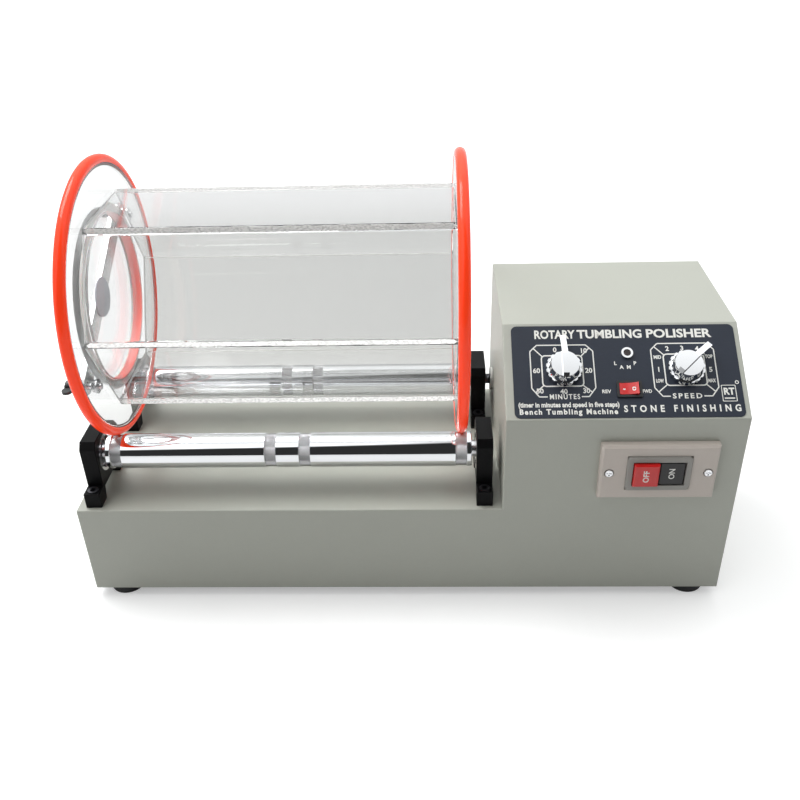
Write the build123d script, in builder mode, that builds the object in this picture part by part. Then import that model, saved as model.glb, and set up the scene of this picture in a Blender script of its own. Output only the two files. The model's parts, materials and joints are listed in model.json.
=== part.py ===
from build123d import *
import math
import os

os.makedirs("parts", exist_ok=True)

# A bench rock tumbler: a clear hexagonal barrel with two tyred end discs lies on two chromed
# rollers. The rear roller is driven by a belt from a motor in the sheet-steel housing.
# Origin: the middle of the footprint at the bottom of the feet. +X runs along the rollers
# towards the housing, -Y is the side with the controls and +Z is up. Millimetres.

# ---- driving dimensions: the painted body -----------------------------------------------
LENGTH, DEPTH = 590.0, 208.0
FOOT_H, BASE_H = 10.0, 93.5
SHEET = 1.5
EDGE_R = 1.2
HOUSING_X = 91.0                  # left wall of the housing
PANEL_LOW_Z, TOP_Z = 198.0, 250.0  # lower and upper edge of the sloping control panel
PANEL_RUN = 75.0                  # how far back the panel leans
FLANGE_W = 14.0

HALF_L, HALF_D = LENGTH / 2, DEPTH / 2
DECK_Z = FOOT_H + BASE_H
PANEL_ANGLE = math.degrees(math.atan2(TOP_Z - PANEL_LOW_Z, PANEL_RUN))
PANEL = Plane(origin=(HOUSING_X, -HALF_D, PANEL_LOW_Z), x_dir=(1, 0, 0),
              z_dir=(0, -math.sin(math.radians(PANEL_ANGLE)), math.cos(math.radians(PANEL_ANGLE))))
FRONT = Plane.XZ.offset(HALF_D)   # faces the user, local x is X and local y is Z
REAR = Plane.XZ.offset(-HALF_D)   # the same way round, at the back sheet

# ---- driving dimensions: rollers, bearings and barrel -------------------------------------
ROLLER_MID_X, ROLLER_HALF_L = -102.0, 166.3
ROLLER_R, GROOVE_R, GROOVE_W = 16.0, 15.0, 10.0
ROLLER_BORE_R, ROLLER_WALL_R, ROLLER_PLUG_L = 7.5, 12.0, 25.0
AXLE_HALF_GAP, AXLE_Z = 62.5, DECK_Z + 37.5
GROOVE_OFFSETS = (-157.0, -15.6, 15.6, 157.0)
FRONT_Y, REAR_Y = -AXLE_HALF_GAP, AXLE_HALF_GAP
BLOCK_T, BLOCK_HALF_GAP = 14.5, 170.35
BEARING_W, BEARING_OUT_R, BEARING_IN_R = 11.0, 17.5, 7.5
RACE_PITCH_R, BALL_R, BALL_COUNT, BALL_GAP = 12.75, 2.975, 8, 0.12

TYRE_CORD_R, TYRE_R = 5.0, 121.0  # the round cord and the radius of its centre line
DISC_T = 9.0
RUN_GAP = 0.3                     # between a tyre and the roller that it rides on
BARREL_Z = AXLE_Z + math.sqrt((TYRE_R + TYRE_CORD_R + GROOVE_R + RUN_GAP) ** 2 - AXLE_HALF_GAP ** 2)
HEX_R, WALL_T = 97.6, 8.0         # corner radius and thickness of the six walls
DOOR_R = 70.0
LEFT_DISC_X = ROLLER_MID_X + GROOVE_OFFSETS[0]
RIGHT_DISC_X = ROLLER_MID_X + GROOVE_OFFSETS[-1]
LEFT_FACE_X = LEFT_DISC_X - DISC_T / 2      # outer face of the left disc


def across(x):
    """A plane square to the rollers: local x is Y and local y is Z, facing +X."""
    return Plane.YZ.offset(x)


def on_axis(x, y, z):
    """The same plane with its centre at a point."""
    return Plane(origin=(x, y, z), x_dir=(0, 1, 0), z_dir=(1, 0, 0))


def keep(piece, name):
    """Label a finished piece and write it."""
    piece.part.label = name
    export_step(piece.part, f"parts/{name}.step")


def rod(x_from, x_to, y, z, radius):
    """Adds a round bar along X to the part in hand."""
    with BuildSketch(on_axis(x_from, y, z)) as end:
        Circle(radius)
    extrude(end.sketch, amount=x_to - x_from)


def bore(x_from, x_to, y, z, radius):
    """Cuts a round hole along X from the part in hand."""
    with BuildSketch(on_axis(x_from, y, z)) as end:
        Circle(radius)
    extrude(end.sketch, amount=x_to - x_from, mode=Mode.SUBTRACT)


# ---- places that several pieces share -----------------------------------------------------
FOOT_X, FOOT_Y = 270.0, 85.0
BLOCK_LEFT_X = ROLLER_MID_X - BLOCK_HALF_GAP - BLOCK_T
BLOCK_RIGHT_X = ROLLER_MID_X + BLOCK_HALF_GAP
BLOCK_BOLT_DY, BLOCK_BOLT_R = 30.0, 3.0
FOOT_LEN_HALF, FOOT_PAD_H = 36.5, 15.0
BLOCK_BOLTS = [(x + BLOCK_T / 2, y + dy) for x in (BLOCK_LEFT_X, BLOCK_RIGHT_X)
               for y in (FRONT_Y, REAR_Y) for dy in (-BLOCK_BOLT_DY, BLOCK_BOLT_DY)]

TIMER_UV, SPEED_UV = (50.8, 46.0), (154.2, 45.6)   # dials on the panel
LAMP_UV, ROCKER_UV = (106.0, 61.3), (105.0, 27.5)
SPINDLE_R, SPINDLE_HOLE_R = 3.0, 4.6
LAMP_R = 3.9
ROCKER_BODY = (19.0, 13.0)

STATION_X, STATION_Z = 222.0, 148.5
STATION_SIZE, STATION_T = (99.5, 55.0), 8.0
STATION_SCREW_DX = 42.0
BEZEL_SIZE, BEZEL_PROUD = (55.0, 35.0), 2.0
BUTTON_WELL = (45.0, 24.4)

INLET_X, INLET_Z = 245.0, 62.0
INLET_BODY, INLET_SCREW_DX = (28.0, 22.0), 20.0

MOTOR_Y, MOTOR_Z = -18.0, 64.0
MOTOR_R, MOTOR_X, MOTOR_L = 34.0, 140.0, 92.0
MOTOR_SCREW_PCD_R = 22.0
BRACKET_T = 3.0
PULLEY_X, PULLEY_W, FLANGE_T = 106.0, 14.0, 2.0
DRIVEN_R, DRIVER_R, FLANGE_LIP = 36.0, 12.0, 2.5
BELT_T, BELT_W = 2.6, 9.0
DRIVE_SHAFT_R, MOTOR_SHAFT_R = 5.0, 4.0
BUSH_HOLE_R = 9.0

PLATE_Z = FOOT_H + SHEET          # top of the bottom plate
PLATE_SCREWS = [(x, y) for x in (-200.0, 0.0, 200.0) for y in (-96.0, 96.0)]
BOARD_X, BOARD_Y, BOARD_SIZE, BOARD_Z = 192.0, 60.0, (110.0, 60.0), PLATE_Z + 12.0
BOARD_POSTS = [(BOARD_X + dx, BOARD_Y + dy) for dx in (-49.0, 49.0) for dy in (-24.0, 24.0)]
BRACKET_SCREWS = [(MOTOR_X - 22.0, MOTOR_Y + dy) for dy in (-26.0, 26.0)]


# ---- painted steel body --------------------------------------------------------------------
def housing_side():
    """The five-sided outline of the housing seen from its end."""
    Polygon((-HALF_D, FOOT_H), (HALF_D, FOOT_H), (HALF_D, TOP_Z), (-HALF_D + PANEL_RUN, TOP_Z),
            (-HALF_D, PANEL_LOW_Z), align=None)


with BuildPart() as body_shell:
    with BuildSketch(Plane.XY.offset(FOOT_H)):
        Rectangle(LENGTH, DEPTH)
    extrude(amount=BASE_H)
    with BuildSketch(across(HOUSING_X)):
        housing_side()
    extrude(amount=HALF_L - HOUSING_X)
    inner_corner = (body_shell.edges().filter_by(Axis.Y)
                    .filter_by_position(Axis.X, HOUSING_X - 0.1, HOUSING_X + 0.1))
    bottom = body_shell.edges().filter_by_position(Axis.Z, FOOT_H - 0.1, FOOT_H + 0.1)
    top_left = inner_corner.filter_by_position(Axis.Z, TOP_Z - 1, TOP_Z + 1)
    fillet(body_shell.edges() - bottom - (inner_corner - top_left), EDGE_R)
    # the hollow: one box under the deck and one room in the housing
    with BuildSketch(Plane.XY.offset(FOOT_H)):
        Rectangle(LENGTH - 2 * SHEET, DEPTH - 2 * SHEET)
    extrude(amount=BASE_H - SHEET, mode=Mode.SUBTRACT)
    with BuildSketch(across(HOUSING_X + SHEET)):
        housing_side()
        offset(amount=-SHEET, mode=Mode.REPLACE)
    extrude(amount=HALF_L - HOUSING_X - 2 * SHEET, mode=Mode.SUBTRACT)
    # the flange that is turned in at the bottom
    with BuildSketch(Plane.XY.offset(PLATE_Z)):
        Rectangle(LENGTH - SHEET, DEPTH - SHEET)
        Rectangle(LENGTH - 2 * FLANGE_W, DEPTH - 2 * FLANGE_W, mode=Mode.SUBTRACT)
        with Locations(*PLATE_SCREWS):
            Circle(2.0, mode=Mode.SUBTRACT)
    extrude(amount=SHEET)
    with BuildSketch(Plane.XY.offset(DECK_Z - 2 * SHEET)):
        with Locations(*BLOCK_BOLTS):
            Circle(BLOCK_BOLT_R + 0.3)
    extrude(amount=3 * SHEET, mode=Mode.SUBTRACT)
    bore(HOUSING_X - 1, HOUSING_X + 2 * SHEET, REAR_Y, AXLE_Z, BUSH_HOLE_R)
    with BuildSketch(PANEL.offset(-2 * SHEET)):
        with Locations(TIMER_UV, SPEED_UV):
            Circle(SPINDLE_HOLE_R)
        with Locations(LAMP_UV):
            Circle(LAMP_R)
        with Locations(ROCKER_UV):
            Rectangle(*ROCKER_BODY)
    extrude(amount=3 * SHEET, mode=Mode.SUBTRACT)
    with BuildSketch(FRONT.offset(-2 * SHEET)):
        with Locations((STATION_X, STATION_Z)):
            Rectangle(BEZEL_SIZE[0] + 1, BEZEL_SIZE[1] + 1)
        with Locations(*[(STATION_X + dx, STATION_Z) for dx in (-STATION_SCREW_DX, STATION_SCREW_DX)]):
            Circle(2.0)
    extrude(amount=3 * SHEET, mode=Mode.SUBTRACT)
    with BuildSketch(REAR.offset(-SHEET)):
        with Locations((INLET_X, INLET_Z)):
            Rectangle(*INLET_BODY)
            with Locations((-INLET_SCREW_DX, 0), (INLET_SCREW_DX, 0)):
                Circle(1.6)
        with Locations((HOUSING_X + 102.0, 165.0)):
            with GridLocations(50.0, 11.0, 3, 7):
                SlotOverall(38.0, 4.0)
    extrude(amount=3 * SHEET, mode=Mode.SUBTRACT)

# The low box and the housing are folded from two sheets and welded where they meet.
for shell_name, side in (("base_shell", Keep.BOTTOM), ("housing_shell", Keep.TOP)):
    with BuildPart() as half_shell:
        add(body_shell.part)
        split(bisect_by=across(HOUSING_X), keep=side)
    keep(half_shell, shell_name)

with BuildPart() as base_plate:
    with BuildSketch(Plane.XY.offset(FOOT_H)):
        Rectangle(LENGTH - 2 * SHEET - 0.6, DEPTH - 2 * SHEET - 0.6)
        with Locations(*PLATE_SCREWS, *BOARD_POSTS, *BRACKET_SCREWS):
            Circle(2.1, mode=Mode.SUBTRACT)
        with GridLocations(2 * FOOT_X, 2 * FOOT_Y, 2, 2):
            Circle(2.6, mode=Mode.SUBTRACT)
        with Locations((200.0, -62.0)):
            with GridLocations(32.0, 9.0, 3, 4):
                SlotOverall(24.0, 4.0, mode=Mode.SUBTRACT)
    extrude(amount=SHEET)
keep(base_plate, "base_plate")

with BuildPart() as base_plate_screws:
    with BuildSketch(Plane.XY.offset(FOOT_H - 2.2)):
        with Locations(*PLATE_SCREWS):
            Circle(3.8)
    extrude(amount=2.2)
    with BuildSketch(Plane.XY.offset(FOOT_H)):
        with Locations(*PLATE_SCREWS):
            Circle(1.9)
    extrude(amount=7.0)
keep(base_plate_screws, "base_plate_screws")

# ---- rubber feet -----------------------------------------------------------------------------
FOOT_R, FOOT_TIP_R, FOOT_RECESS_R, FOOT_RECESS_H = 18.0, 16.0, 6.0, 4.0
FOOT_PLACES = [(side_x * FOOT_X, side_y * FOOT_Y) for side_x in (-1, 1) for side_y in (-1, 1)]
with BuildPart() as feet:
    for x, y in FOOT_PLACES:
        with BuildSketch(Plane(origin=(x, y, 0), x_dir=(1, 0, 0), z_dir=(0, -1, 0))):
            with BuildLine():
                Line((FOOT_RECESS_R, 0), (FOOT_TIP_R, 0))
                ThreePointArc((FOOT_TIP_R, 0), (FOOT_R - 0.7, 4.6), (FOOT_R, FOOT_H))
                Polyline((FOOT_R, FOOT_H), (2.6, FOOT_H), (2.6, FOOT_RECESS_H),
                         (FOOT_RECESS_R, FOOT_RECESS_H), (FOOT_RECESS_R, 0))
            make_face()
        revolve(axis=Axis((x, y, 0), (0, 0, 1)))
keep(feet, "feet")

with BuildPart() as foot_screws:
    for radius, low, high in ((4.6, 1.2, FOOT_RECESS_H), (2.4, FOOT_RECESS_H, 18.0)):
        with BuildSketch(Plane.XY.offset(low)):
            with GridLocations(2 * FOOT_X, 2 * FOOT_Y, 2, 2):
                Circle(radius)
        extrude(amount=high - low)
    with BuildSketch(Plane.XY.offset(PLATE_Z)):
        with GridLocations(2 * FOOT_X, 2 * FOOT_Y, 2, 2):
            RegularPolygon(4.6, 6)
    extrude(amount=4.0)
keep(foot_screws, "foot_screws")

# ---- bearing blocks --------------------------------------------------------------------------
HEAD_HALF, HEAD_TOP, HEAD_CHAMFER = 23.0, 60.0, (5.0, 6.5)
ARCH_HALF, ARCH_H = 21.0, 11.5
BOLT_POCKET_R, BOLT_POCKET_H = 5.6, 5.0
BLOCKS = {"bearing_block_front_left": (BLOCK_LEFT_X, FRONT_Y, 1),
          "bearing_block_front_right": (BLOCK_RIGHT_X, FRONT_Y, -1),
          "bearing_block_rear_left": (BLOCK_LEFT_X, REAR_Y, 1),
          "bearing_block_rear_right": (BLOCK_RIGHT_X, REAR_Y, -1)}


def bearing_face(x, inner):
    """Where the bearing starts in a block whose roller is on its inner (+1 or -1) side."""
    return x + BLOCK_T - BEARING_W if inner > 0 else x


for block_name, (x, y, inner) in BLOCKS.items():
    with BuildPart() as block:
        with BuildSketch(on_axis(x, y, DECK_Z)):
            with BuildLine():
                Polyline((-FOOT_LEN_HALF, 0), (-FOOT_LEN_HALF, FOOT_PAD_H), (-HEAD_HALF, FOOT_PAD_H),
                         (-HEAD_HALF, HEAD_TOP - HEAD_CHAMFER[1]), (-HEAD_HALF + HEAD_CHAMFER[0], HEAD_TOP),
                         (HEAD_HALF - HEAD_CHAMFER[0], HEAD_TOP), (HEAD_HALF, HEAD_TOP - HEAD_CHAMFER[1]),
                         (HEAD_HALF, FOOT_PAD_H), (FOOT_LEN_HALF, FOOT_PAD_H), (FOOT_LEN_HALF, 0),
                         (ARCH_HALF, 0), (ARCH_HALF - 3, ARCH_H), (-ARCH_HALF + 3, ARCH_H),
                         (-ARCH_HALF, 0), close=True)
            make_face()
        extrude(amount=BLOCK_T)
        chamfer(block.faces().filter_by(Axis.X).edges() - block.edges().group_by(Axis.Z)[0], 0.6)
        bore(bearing_face(x, inner), bearing_face(x, inner) + BEARING_W, y, AXLE_Z, BEARING_OUT_R)
        bore(x - 1, x + BLOCK_T + 1, y, AXLE_Z, RACE_PITCH_R - 0.5)
        with BuildSketch(Plane.XY.offset(DECK_Z - 1)):
            with Locations(*[(x + BLOCK_T / 2, y + dy) for dy in (-BLOCK_BOLT_DY, BLOCK_BOLT_DY)]):
                Circle(BLOCK_BOLT_R + 0.3)
        extrude(amount=FOOT_PAD_H + 2, mode=Mode.SUBTRACT)
        with BuildSketch(Plane.XY.offset(DECK_Z + FOOT_PAD_H - BOLT_POCKET_H)):
            with Locations(*[(x + BLOCK_T / 2, y + dy) for dy in (-BLOCK_BOLT_DY, BLOCK_BOLT_DY)]):
                Circle(BOLT_POCKET_R)
        extrude(amount=BOLT_POCKET_H + 1, mode=Mode.SUBTRACT)
    keep(block, block_name)

with BuildPart() as block_bolts:
    head_z, nut_z = DECK_Z + FOOT_PAD_H - BOLT_POCKET_H, DECK_Z - SHEET - 5.0
    with BuildSketch(Plane.XY.offset(nut_z - 2)):
        with Locations(*BLOCK_BOLTS):
            Circle(BLOCK_BOLT_R)
    extrude(amount=head_z - nut_z + 2)
    with BuildSketch(Plane.XY.offset(head_z)):
        with Locations(*BLOCK_BOLTS):
            Circle(5.0)
    extrude(amount=BOLT_POCKET_H + 0.6)
    with BuildSketch(Plane.XY.offset(head_z + 2.6)):
        with Locations(*BLOCK_BOLTS):
            RegularPolygon(2.8, 6)
    extrude(amount=BOLT_POCKET_H, mode=Mode.SUBTRACT)
    with BuildSketch(Plane.XY.offset(nut_z)):
        with Locations(*BLOCK_BOLTS):
            RegularPolygon(5.7, 6)
    extrude(amount=5.0)
keep(block_bolts, "block_bolts")


# ---- ball bearings ---------------------------------------------------------------------------
def race(x, y, inner_r, outer_r):
    """One ring of a ball bearing, with the groove that the balls run in."""
    mid = x + BEARING_W / 2
    rod(x, x + BEARING_W, y, AXLE_Z, outer_r)
    bore(x - 1, x + BEARING_W + 1, y, AXLE_Z, inner_r)
    with BuildSketch(Plane(origin=(mid, y, AXLE_Z), x_dir=(1, 0, 0), z_dir=(0, -1, 0))) as groove:
        with Locations((0, RACE_PITCH_R)):
            Circle(BALL_R + BALL_GAP)
    revolve(groove.sketch, axis=Axis((mid, y, AXLE_Z), (1, 0, 0)), mode=Mode.SUBTRACT)


with BuildPart() as bearing_outer_races:
    for x, y, inner in BLOCKS.values():
        race(bearing_face(x, inner), y, RACE_PITCH_R + 2.0, BEARING_OUT_R)
keep(bearing_outer_races, "bearing_outer_races")

for race_name, row_y in (("bearing_inner_races_front", FRONT_Y), ("bearing_inner_races_rear", REAR_Y)):
    with BuildPart() as inner_races:
        for x, y, inner in BLOCKS.values():
            if y == row_y:
                race(bearing_face(x, inner), y, BEARING_IN_R, RACE_PITCH_R - 2.0)
    keep(inner_races, race_name)

with BuildPart() as bearing_balls:
    for x, y, inner in BLOCKS.values():
        ring_centre = on_axis(bearing_face(x, inner) + BEARING_W / 2, y, AXLE_Z)
        with Locations(ring_centre):
            with PolarLocations(RACE_PITCH_R, BALL_COUNT):
                Sphere(BALL_R)
keep(bearing_balls, "bearing_balls")


# ---- rollers ---------------------------------------------------------------------------------
def roller_tube(y):
    """A chromed tube with four shallow grooves and a plugged end at each side."""
    left, right = ROLLER_MID_X - ROLLER_HALF_L, ROLLER_MID_X + ROLLER_HALF_L
    rod(left, right, y, AXLE_Z, ROLLER_R)
    bore(left - 1, right + 1, y, AXLE_Z, ROLLER_BORE_R)
    bore(left + ROLLER_PLUG_L, right - ROLLER_PLUG_L, y, AXLE_Z, ROLLER_WALL_R)
    for groove in GROOVE_OFFSETS:
        with BuildSketch(on_axis(ROLLER_MID_X + groove - GROOVE_W / 2, y, AXLE_Z)) as ring:
            Circle(ROLLER_R + 1)
            Circle(GROOVE_R, mode=Mode.SUBTRACT)
        extrude(ring.sketch, amount=GROOVE_W, mode=Mode.SUBTRACT)


ROLLER_END_CHAMFER = 1.0
AXLE_END_X = BLOCK_RIGHT_X + BLOCK_T
for roller_name, y in (("roller_front_tube", FRONT_Y), ("roller_rear_tube", REAR_Y)):
    with BuildPart() as tube:
        roller_tube(y)
        ends = tube.edges().filter_by(GeomType.CIRCLE).filter_by(lambda e: abs(e.radius - ROLLER_R) < 0.01)
        chamfer([ends.sort_by(Axis.X)[0], ends.sort_by(Axis.X)[-1]], ROLLER_END_CHAMFER)
    keep(tube, roller_name)

with BuildPart() as roller_front_axle:
    rod(BLOCK_LEFT_X + 1, AXLE_END_X - 1, FRONT_Y, AXLE_Z, BEARING_IN_R)
    chamfer(roller_front_axle.edges().filter_by(GeomType.CIRCLE), 0.8)
keep(roller_front_axle, "roller_front_axle")

with BuildPart() as roller_rear_axle:
    rod(BLOCK_LEFT_X + 1, AXLE_END_X - 1, REAR_Y, AXLE_Z, BEARING_IN_R)
    rod(AXLE_END_X - 1, PULLEY_X + PULLEY_W + 3, REAR_Y, AXLE_Z, DRIVE_SHAFT_R)
keep(roller_rear_axle, "roller_rear_axle")

with BuildPart() as wall_bush:
    rod(HOUSING_X - 2.5, HOUSING_X, REAR_Y, AXLE_Z, BUSH_HOLE_R + 2.5)
    rod(HOUSING_X, HOUSING_X + 6, REAR_Y, AXLE_Z, BUSH_HOLE_R - 0.05)
    bore(HOUSING_X - 4, HOUSING_X + 8, REAR_Y, AXLE_Z, DRIVE_SHAFT_R + 0.08)
keep(wall_bush, "wall_bush")


# ---- motor and belt drive --------------------------------------------------------------------
def pulley(y, z, run_r, bore_r):
    """A flat pulley with two lips, a hub and a tapped hole for its set screw."""
    rod(PULLEY_X, PULLEY_X + PULLEY_W, y, z, run_r)
    for lip in (PULLEY_X, PULLEY_X + PULLEY_W - FLANGE_T):
        rod(lip, lip + FLANGE_T, y, z, run_r + FLANGE_LIP)
    bore(PULLEY_X - 1, PULLEY_X + PULLEY_W + 1, y, z, bore_r)


with BuildPart() as driven_pulley:
    pulley(REAR_Y, AXLE_Z, DRIVEN_R, DRIVE_SHAFT_R)
    with BuildSketch(on_axis(PULLEY_X - 1, REAR_Y, AXLE_Z)):
        with PolarLocations(22.0, 6):
            Circle(8.0)
    extrude(amount=PULLEY_W + 2, mode=Mode.SUBTRACT)
keep(driven_pulley, "driven_pulley")

with BuildPart() as motor_pulley:
    pulley(MOTOR_Y, MOTOR_Z, DRIVER_R, MOTOR_SHAFT_R)
keep(motor_pulley, "motor_pulley")

with BuildPart() as drive_belt:
    belt_x = PULLEY_X + (PULLEY_W - BELT_W) / 2
    for thickness, mode in ((BELT_T, Mode.ADD), (0, Mode.SUBTRACT)):
        with BuildSketch(across(belt_x)):
            with Locations((REAR_Y, AXLE_Z)):
                Circle(DRIVEN_R + RUN_GAP + thickness)
            with Locations((MOTOR_Y, MOTOR_Z)):
                Circle(DRIVER_R + RUN_GAP + thickness)
            make_hull()
        extrude(amount=BELT_W, mode=mode)
keep(drive_belt, "drive_belt")

with BuildPart() as motor_rotor:
    rod(PULLEY_X - 2, MOTOR_X + 8, MOTOR_Y, MOTOR_Z, MOTOR_SHAFT_R)
    rod(MOTOR_X + 8, MOTOR_X + MOTOR_L - 12, MOTOR_Y, MOTOR_Z, 20.0)
keep(motor_rotor, "motor_rotor")

with BuildPart() as motor_case:
    rod(MOTOR_X, MOTOR_X + MOTOR_L, MOTOR_Y, MOTOR_Z, MOTOR_R)
    chamfer(motor_case.edges().filter_by(GeomType.CIRCLE), 2.5)
    bore(MOTOR_X + 5, MOTOR_X + MOTOR_L - 5, MOTOR_Y, MOTOR_Z, MOTOR_R - 10)
    bore(MOTOR_X - 1, MOTOR_X + 6, MOTOR_Y, MOTOR_Z, MOTOR_SHAFT_R + 0.08)
    with BuildSketch(on_axis(MOTOR_X + MOTOR_L - 6, MOTOR_Y, MOTOR_Z)):
        with PolarLocations(MOTOR_R - 16, 6):
            Circle(4.0)
    extrude(amount=8, mode=Mode.SUBTRACT)
    with BuildSketch(on_axis(MOTOR_X - 1, MOTOR_Y, MOTOR_Z)):
        with PolarLocations(MOTOR_SCREW_PCD_R, 4, start_angle=45):
            Circle(2.0)
    extrude(amount=5, mode=Mode.SUBTRACT)
keep(motor_case, "motor_case")

with BuildPart() as motor_bracket:
    bracket_x = MOTOR_X - BRACKET_T
    with BuildSketch(across(bracket_x)):
        with BuildLine():
            Polyline((MOTOR_Y - 36, PLATE_Z), (MOTOR_Y + 36, PLATE_Z), (MOTOR_Y + 36, MOTOR_Z + 20),
                     (MOTOR_Y + 20, MOTOR_Z + 34), (MOTOR_Y - 20, MOTOR_Z + 34),
                     (MOTOR_Y - 36, MOTOR_Z + 20), close=True)
        make_face()
        with Locations((MOTOR_Y, MOTOR_Z)):
            Circle(12.0, mode=Mode.SUBTRACT)
            with PolarLocations(MOTOR_SCREW_PCD_R, 4, start_angle=45):
                Circle(2.2, mode=Mode.SUBTRACT)
    extrude(amount=BRACKET_T)
    with BuildSketch(Plane.XY.offset(PLATE_Z)):
        with Locations((bracket_x - 14, MOTOR_Y)):
            Rectangle(30.0, 72.0)
        with Locations(*BRACKET_SCREWS):
            Circle(2.2, mode=Mode.SUBTRACT)
    extrude(amount=BRACKET_T)
keep(motor_bracket, "motor_bracket")

with BuildPart() as motor_screws:
    with BuildSketch(on_axis(MOTOR_X - BRACKET_T - 2.5, MOTOR_Y, MOTOR_Z)):
        with PolarLocations(MOTOR_SCREW_PCD_R, 4, start_angle=45):
            Circle(3.6)
    extrude(amount=2.5)
    with BuildSketch(on_axis(MOTOR_X - BRACKET_T, MOTOR_Y, MOTOR_Z)):
        with PolarLocations(MOTOR_SCREW_PCD_R, 4, start_angle=45):
            Circle(1.9)
    extrude(amount=BRACKET_T + 3.5)
    with BuildSketch(Plane.XY.offset(PLATE_Z + BRACKET_T)):
        with Locations(*BRACKET_SCREWS):
            Circle(3.8)
    extrude(amount=2.4)
    with BuildSketch(Plane.XY.offset(FOOT_H - 1.5)):
        with Locations(*BRACKET_SCREWS):
            Circle(2.0)
    extrude(amount=BRACKET_T + SHEET + 1.5)
keep(motor_screws, "motor_screws")

# ---- electrics inside the housing ------------------------------------------------------------
with BuildPart() as control_board:
    with BuildSketch(Plane.XY.offset(BOARD_Z)):
        with Locations((BOARD_X, BOARD_Y)):
            Rectangle(*BOARD_SIZE)
        with Locations(*BOARD_POSTS):
            Circle(1.7, mode=Mode.SUBTRACT)
    extrude(amount=1.6)
    with BuildSketch(Plane.XY.offset(BOARD_Z + 1.6)):
        with Locations((BOARD_X - 25, BOARD_Y + 6), (BOARD_X - 6, BOARD_Y + 6)):
            Circle(8.0)
    extrude(amount=28)
    with BuildSketch(Plane.XY.offset(BOARD_Z + 1.6)):
        with Locations((BOARD_X + 24, BOARD_Y - 6)):
            Rectangle(26.0, 34.0)
    extrude(amount=22)
    with BuildSketch(Plane.XY.offset(BOARD_Z + 1.6)):
        with Locations((BOARD_X - 18, BOARD_Y - 24)):
            Rectangle(44.0, 9.0)
    extrude(amount=11)
keep(control_board, "control_board")

with BuildPart() as board_posts:
    for radius, low, high in ((3.5, PLATE_Z, BOARD_Z), (1.6, FOOT_H - 1.0, BOARD_Z + 3.0),
                              (3.0, BOARD_Z + 1.6, BOARD_Z + 3.6)):
        with BuildSketch(Plane.XY.offset(low)):
            with Locations(*BOARD_POSTS):
                Circle(radius)
        extrude(amount=high - low)
keep(board_posts, "board_posts")

LABEL_T, NUT_H = 0.5, 2.5
SPINDLE_TOP = LABEL_T + 11.0
TIMER_BODY, TIMER_DEPTH = (42.0, 42.0), 34.0
POT_R, POT_DEPTH = 12.0, 14.0


def panel_round(uv, low, high, radius, mode=Mode.ADD):
    """A round boss or hole on the control panel, between two heights along its normal."""
    with BuildSketch(PANEL.offset(low)) as spot:
        with Locations(uv):
            Circle(radius)
    extrude(spot.sketch, amount=high - low, mode=mode)


with BuildPart() as timer_case:
    with BuildSketch(PANEL.offset(-SHEET - TIMER_DEPTH)):
        with Locations(TIMER_UV):
            Rectangle(*TIMER_BODY)
    extrude(amount=TIMER_DEPTH)
    panel_round(TIMER_UV, -SHEET, LABEL_T, SPINDLE_HOLE_R - 0.1)
    panel_round(TIMER_UV, -12.0, LABEL_T + 1, SPINDLE_R + 0.08, Mode.SUBTRACT)
keep(timer_case, "timer_case")

with BuildPart() as speed_control_case:
    panel_round(SPEED_UV, -SHEET - POT_DEPTH, -SHEET, POT_R)
    panel_round(SPEED_UV, -SHEET, LABEL_T, SPINDLE_HOLE_R - 0.1)
    panel_round(SPEED_UV, -8.0, LABEL_T + 1, SPINDLE_R + 0.08, Mode.SUBTRACT)
keep(speed_control_case, "speed_control_case")

for spindle_name, uv in (("timer_spindle", TIMER_UV), ("speed_spindle", SPEED_UV)):
    with BuildPart() as spindle:
        panel_round(uv, -6.0, SPINDLE_TOP, SPINDLE_R)
    keep(spindle, spindle_name)

# ---- control panel ---------------------------------------------------------------------------
LABEL_SIZE, LABEL_MID = (192.0, 87.0), (103.5, 45.2)
with BuildPart() as label_plate:
    with BuildSketch(PANEL):
        with Locations(LABEL_MID):
            RectangleRounded(*LABEL_SIZE, 5.0)
        with Locations(TIMER_UV, SPEED_UV):
            Circle(SPINDLE_HOLE_R, mode=Mode.SUBTRACT)
        with Locations(LAMP_UV):
            Circle(LAMP_R, mode=Mode.SUBTRACT)
        with Locations(ROCKER_UV):
            Rectangle(*ROCKER_BODY, mode=Mode.SUBTRACT)
    extrude(amount=LABEL_T)
keep(label_plate, "label_plate")

KNOB_R, KNOB_SKIRT_H, KNOB_BODY_H = 15.4, 5.0, 13.0
KNOB_SCALLOPS, SCALLOP_R = 18, 1.5
POINTER_W, POINTER_TIP, POINTER_TAIL, POINTER_H = 5.0, 29.0, 14.0, 16.5
KNOB_LIFT = LABEL_T + 0.5
POINTER_ANGLES = {"timer_knob": 0.0, "speed_knob": -46.0}


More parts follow.
